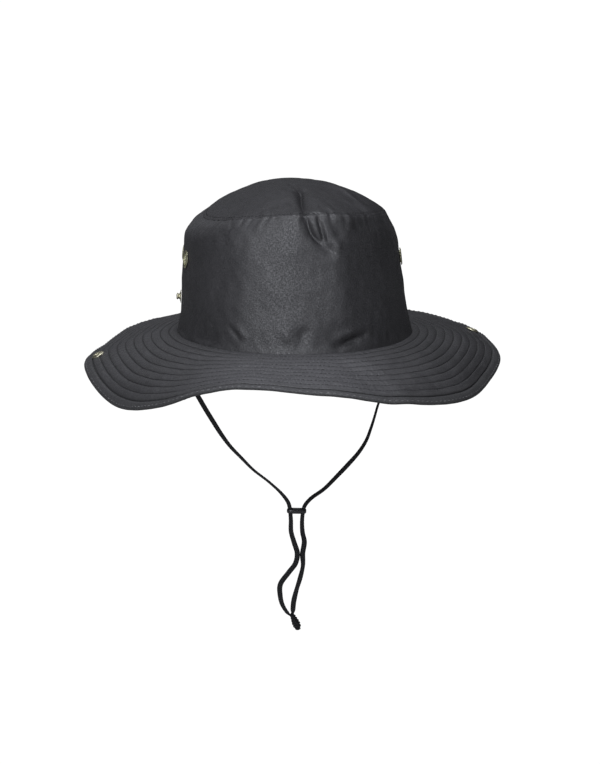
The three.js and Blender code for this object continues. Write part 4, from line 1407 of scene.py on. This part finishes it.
def make_stitches():
    round_hat = np.linspace(0, 360, 900, endpoint=False)
    for side, face in ((1, "top"), (-1, "under")):
        on_brim = (lambda direction, place: brim_cloth(direction, place, side), brim_top, round_hat)
        rows = [sewn_row(*on_brim, row + row_shift(round_hat), -FRAME_STEP_BRIM, side)
                for row in stitch_rows]
        stitch_piece(f"brim_stitches_{face}", rows, "brim_cloth")
        place = np.full(len(round_hat), BRIM_WIDTH - EDGE_TOPSTITCH)
        edge = sewn_row(*on_brim, place, -FRAME_STEP_BRIM, side, pitch=EDGE_STITCH_PITCH)
        # Edge stitches in the pale thread whose colour paints their glint
        stitch_piece(f"edge_stitches_{face}", [edge], "brim_cloth", "painted_glint_thread")
    up = np.full(len(round_hat), 1 + TIP_TOPSTITCH / TIP_REACH)
    row = sewn_row(crown_cloth, crown_cloth, round_hat, up, NORMAL_STEP_UP)
    stitch_piece("tip_seam_stitches", [row], "crown_cloth")
    up = np.linspace(0.03, 0.955, 200)
    beside = np.degrees(BACK_TOPSTITCH / BACK_RADIUS)
    rows = [sewn_row(crown_cloth, crown_cloth, np.full(len(up), BACK + side * beside), up,
                     NORMAL_STEP_UP, closed=False) for side in (-1, 1)]
    stitch_piece("back_seam_stitches", rows, "crown_cloth")


# Side hardware

SNAP_SIDES = 56
SNAP_BASE = 0.0050


def fitting(name, profile, sides, matrix, slot, node):
    """A turned metal piece of the hat, in the material that its slot is named after."""
    return settle(turned_piece(name, profile, sides, matrix, materials[slot]), slot, node)


def eyelet(vent):
    """Brass eyelet: a rolled flange outside, a barrel through the cloth and a rolled rim inside."""
    bore, barrel, flange, rolled = 0.0042, 0.0047, 0.0067, 0.0062
    inside = -CLOTH - 0.00085
    crest = (bore + flange) / 2
    profile = [
        (bore, inside - 0.0005), *arc((bore + 0.0007, inside - 0.0004), 0.0006, 190, 270, 6),
        *arc((rolled - 0.0005, inside - 0.0005), 0.0005, -90, 90, 9),
        (barrel, inside + 0.00002), (barrel, 0.00045), (flange - 0.0003, 0.00045),
        *arc((flange - 0.0003, 0.0007), 0.0003, -70, 60, 7),
        (crest + 0.0004, 0.00135), (crest, 0.00142), (crest - 0.0005, 0.00135),
        *arc((bore + 0.00035, 0.0009), 0.0004, 70, 180, 7),
    ]
    return fitting(f"eyelet_{vent.name}", profile, 72, vent_frame(vent), "vent_brass",
                   f"vent_{vent.name}")


def screen(vent):
    """Woven wire screen in an eyelet: two sets of wires that pass over and under each other."""
    radius, wire, pitch, dome = 0.0040, 0.00013, 0.00072, 0.0004
    sides = 6
    parts, faces = [], []
    number = int(radius / pitch)
    for turned_by in (0, 1):
        for i in range(-number, number + 1):
            offset = i * pitch
            reach = math.sqrt(radius ** 2 - offset ** 2)
            x = np.linspace(-reach, reach, max(8, int(2 * reach / pitch * 4)))
            lift = wire * 0.95 * np.cos(math.pi * (x / pitch + i + turned_by))
            z = 0.0002 + dome * (1 - (x ** 2 + offset ** 2) / radius ** 2) + lift
            line = np.stack([x, 0 * x + offset, z], -1)
            if turned_by:
                line = line[:, [1, 0, 2]]
            first = sum(len(p) for p in parts)
            parts.append(swept(line, np.full(len(line), wire), sides, np.array([0.0, 0.0, 1.0])))
            faces += tube_faces(len(line), sides, first)
    piece = finish_mesh(f"wire_screen_{vent.name}", np.vstack(parts), faces, materials["screen_wire"])
    piece.data.transform(vent_frame(vent))
    return settle(outward(piece), "screen_wire", f"screen_{vent.name}")


def snap_stud(snap):
    """Stud of a side snap: a stepped base and a post with a round head."""
    gap, base = TOUCHING_GAP, SNAP_BASE
    profile = [
        (0, gap), (base - 0.0002, gap), *arc((base - 0.00025, gap + 0.00025), 0.00025, -60, 80, 6),
        (0.0038, 0.00085), *arc((0.0031, 0.0009), 0.0004, 60, 150, 5), (0.0021, 0.0015),
        *arc((0.0024, 0.0020), 0.0004, 250, 160, 5), (0.0020, 0.0026),
        *arc((0.0019, 0.0032), 0.0006, -40, 80, 8), (0.0012, 0.0039), (0, 0.00395),
    ]
    return fitting(f"snap_stud_{snap.name}", profile, SNAP_SIDES, vent_frame(snap), "snap_brass",
                   f"crown_snap_stud_{snap.name}")


def snap_socket(snap):
    """Socket of a side snap: a ring with a rolled rim round a sunk middle."""
    gap, base = TOUCHING_GAP, SNAP_BASE
    profile = [
        (0, gap), (base - 0.0002, gap), *arc((base - 0.00045, gap + 0.00045), 0.00045, -50, 70, 7),
        *arc((0.0037, 0.00125), 0.0006, 60, 140, 6), *arc((0.0027, 0.0012), 0.0004, 80, 200, 6),
        (0.0021, 0.0008), (0, 0.00078),
    ]
    return fitting(f"snap_socket_{snap.name}", profile, SNAP_SIDES, brim_snap_frame(snap),
                   "snap_brass", f"brim_snap_socket_{snap.name}")


def snap_cap(name, node, matrix, thickness):
    """Cap behind a snap: a low dome with a rolled rim, on a short stem through the cloth."""
    cap, stem = 0.0052, 0.0019
    back = -thickness - 0.0005
    profile = [
        (0, back - 0.0011), (0.0022, back - 0.00105), (0.0037, back - 0.00085),
        *arc((cap - 0.0003, back - 0.0003), 0.0003, 240, 360, 7), (cap - 0.0001, back - 0.00005),
        (cap - 0.0004, back), (stem, back), (stem, -0.0001), (stem - 0.0002, 0), (0, 0),
    ]
    return fitting(name, profile, SNAP_SIDES, matrix, "snap_brass", node)


def make_hardware():
    for vent in VENTS:
        eyelet(vent)
        screen(vent)
    for snap in CROWN_SNAPS:
        snap_stud(snap)
        snap_cap(f"stud_cap_{snap.name}", f"crown_snap_cap_{snap.name}", vent_frame(snap), CLOTH)
    for snap in BRIM_SNAPS:
        snap_socket(snap)
        snap_cap(f"socket_cap_{snap.name}", f"brim_snap_cap_{snap.name}", brim_snap_frame(snap),
                 BRIM_THICKNESS)


# Studio

FLOOR_HEIGHT = -0.34
FLOOR_SIZE = 60.0
SOFT_BOX_COLOUR = (0.92, 0.94, 1.0)
SOFT_BOX_DISTANCE = 1.8
SOFT_BOX_AIM = Vector((0, 0, 0.03))
SoftBox = namedtuple("SoftBox", "name azimuth elevation power size", defaults=[0.75])
SOFT_BOXES = [
    SoftBox("top", 0, 88, 27),
    SoftBox("key", -21, 8, 20.5, 1.2),
    SoftBox("key above", -20, 35, 4),
    SoftBox("left", -45, 35, 3.4),
    SoftBox("right", 20, 35, 5),
    SoftBox("back left", -150, 26, 1.2),
    SoftBox("back", 180, 15, 0.3),
]


def hang(box):
    """Hangs a square soft box so that it looks at the hat."""
    light = bpy.data.lights.new(box.name, "AREA")
    light.size = box.size
    light.energy = box.power
    light.color = SOFT_BOX_COLOUR
    back = direction_to(box.azimuth, box.elevation)
    lamp = add_object(box.name, light)
    lamp.location = SOFT_BOX_AIM + back * SOFT_BOX_DISTANCE
    lamp.rotation_mode = "QUATERNION"
    lamp.rotation_quaternion = back.to_track_quat("Z", "Y")


def make_studio():
    mesh = bpy.data.meshes.new("studio_floor")
    half = FLOOR_SIZE / 2
    mesh.from_pydata(
        [(-half, -half, FLOOR_HEIGHT), (half, -half, FLOOR_HEIGHT),
         (half, half, FLOOR_HEIGHT), (-half, half, FLOOR_HEIGHT)], [], [(0, 1, 2, 3)])
    mesh.materials.append(materials["floor"])
    floor = add_object("studio_floor", mesh)
    world = bpy.data.worlds.new("studio")
    world.use_nodes = True
    bpy.context.scene.world = world
    net = Net(world.node_tree)
    for node in list(world.node_tree.nodes):
        world.node_tree.nodes.remove(node)
    room = net.node("ShaderNodeBackground", {"Color": (1, 1, 1, 1), "Strength": 0.01}).outputs[0]
    white = net.node("ShaderNodeBackground", {"Color": (1, 1, 1, 1), "Strength": 1.05}).outputs[0]
    seen = net.node("ShaderNodeLightPath").outputs["Is Camera Ray"]
    both = net.node("ShaderNodeMixShader", {0: seen, 1: room, 2: white}).outputs[0]
    net.node("ShaderNodeOutputWorld", {"Surface": both})
    for box in SOFT_BOXES:
        hang(box)
    bpy.context.scene.view_settings.view_transform = "Standard"


set_camera()
make_cords()
crown_wall()
crown_tip()
brim()
make_stitches()
make_hardware()
make_studio()
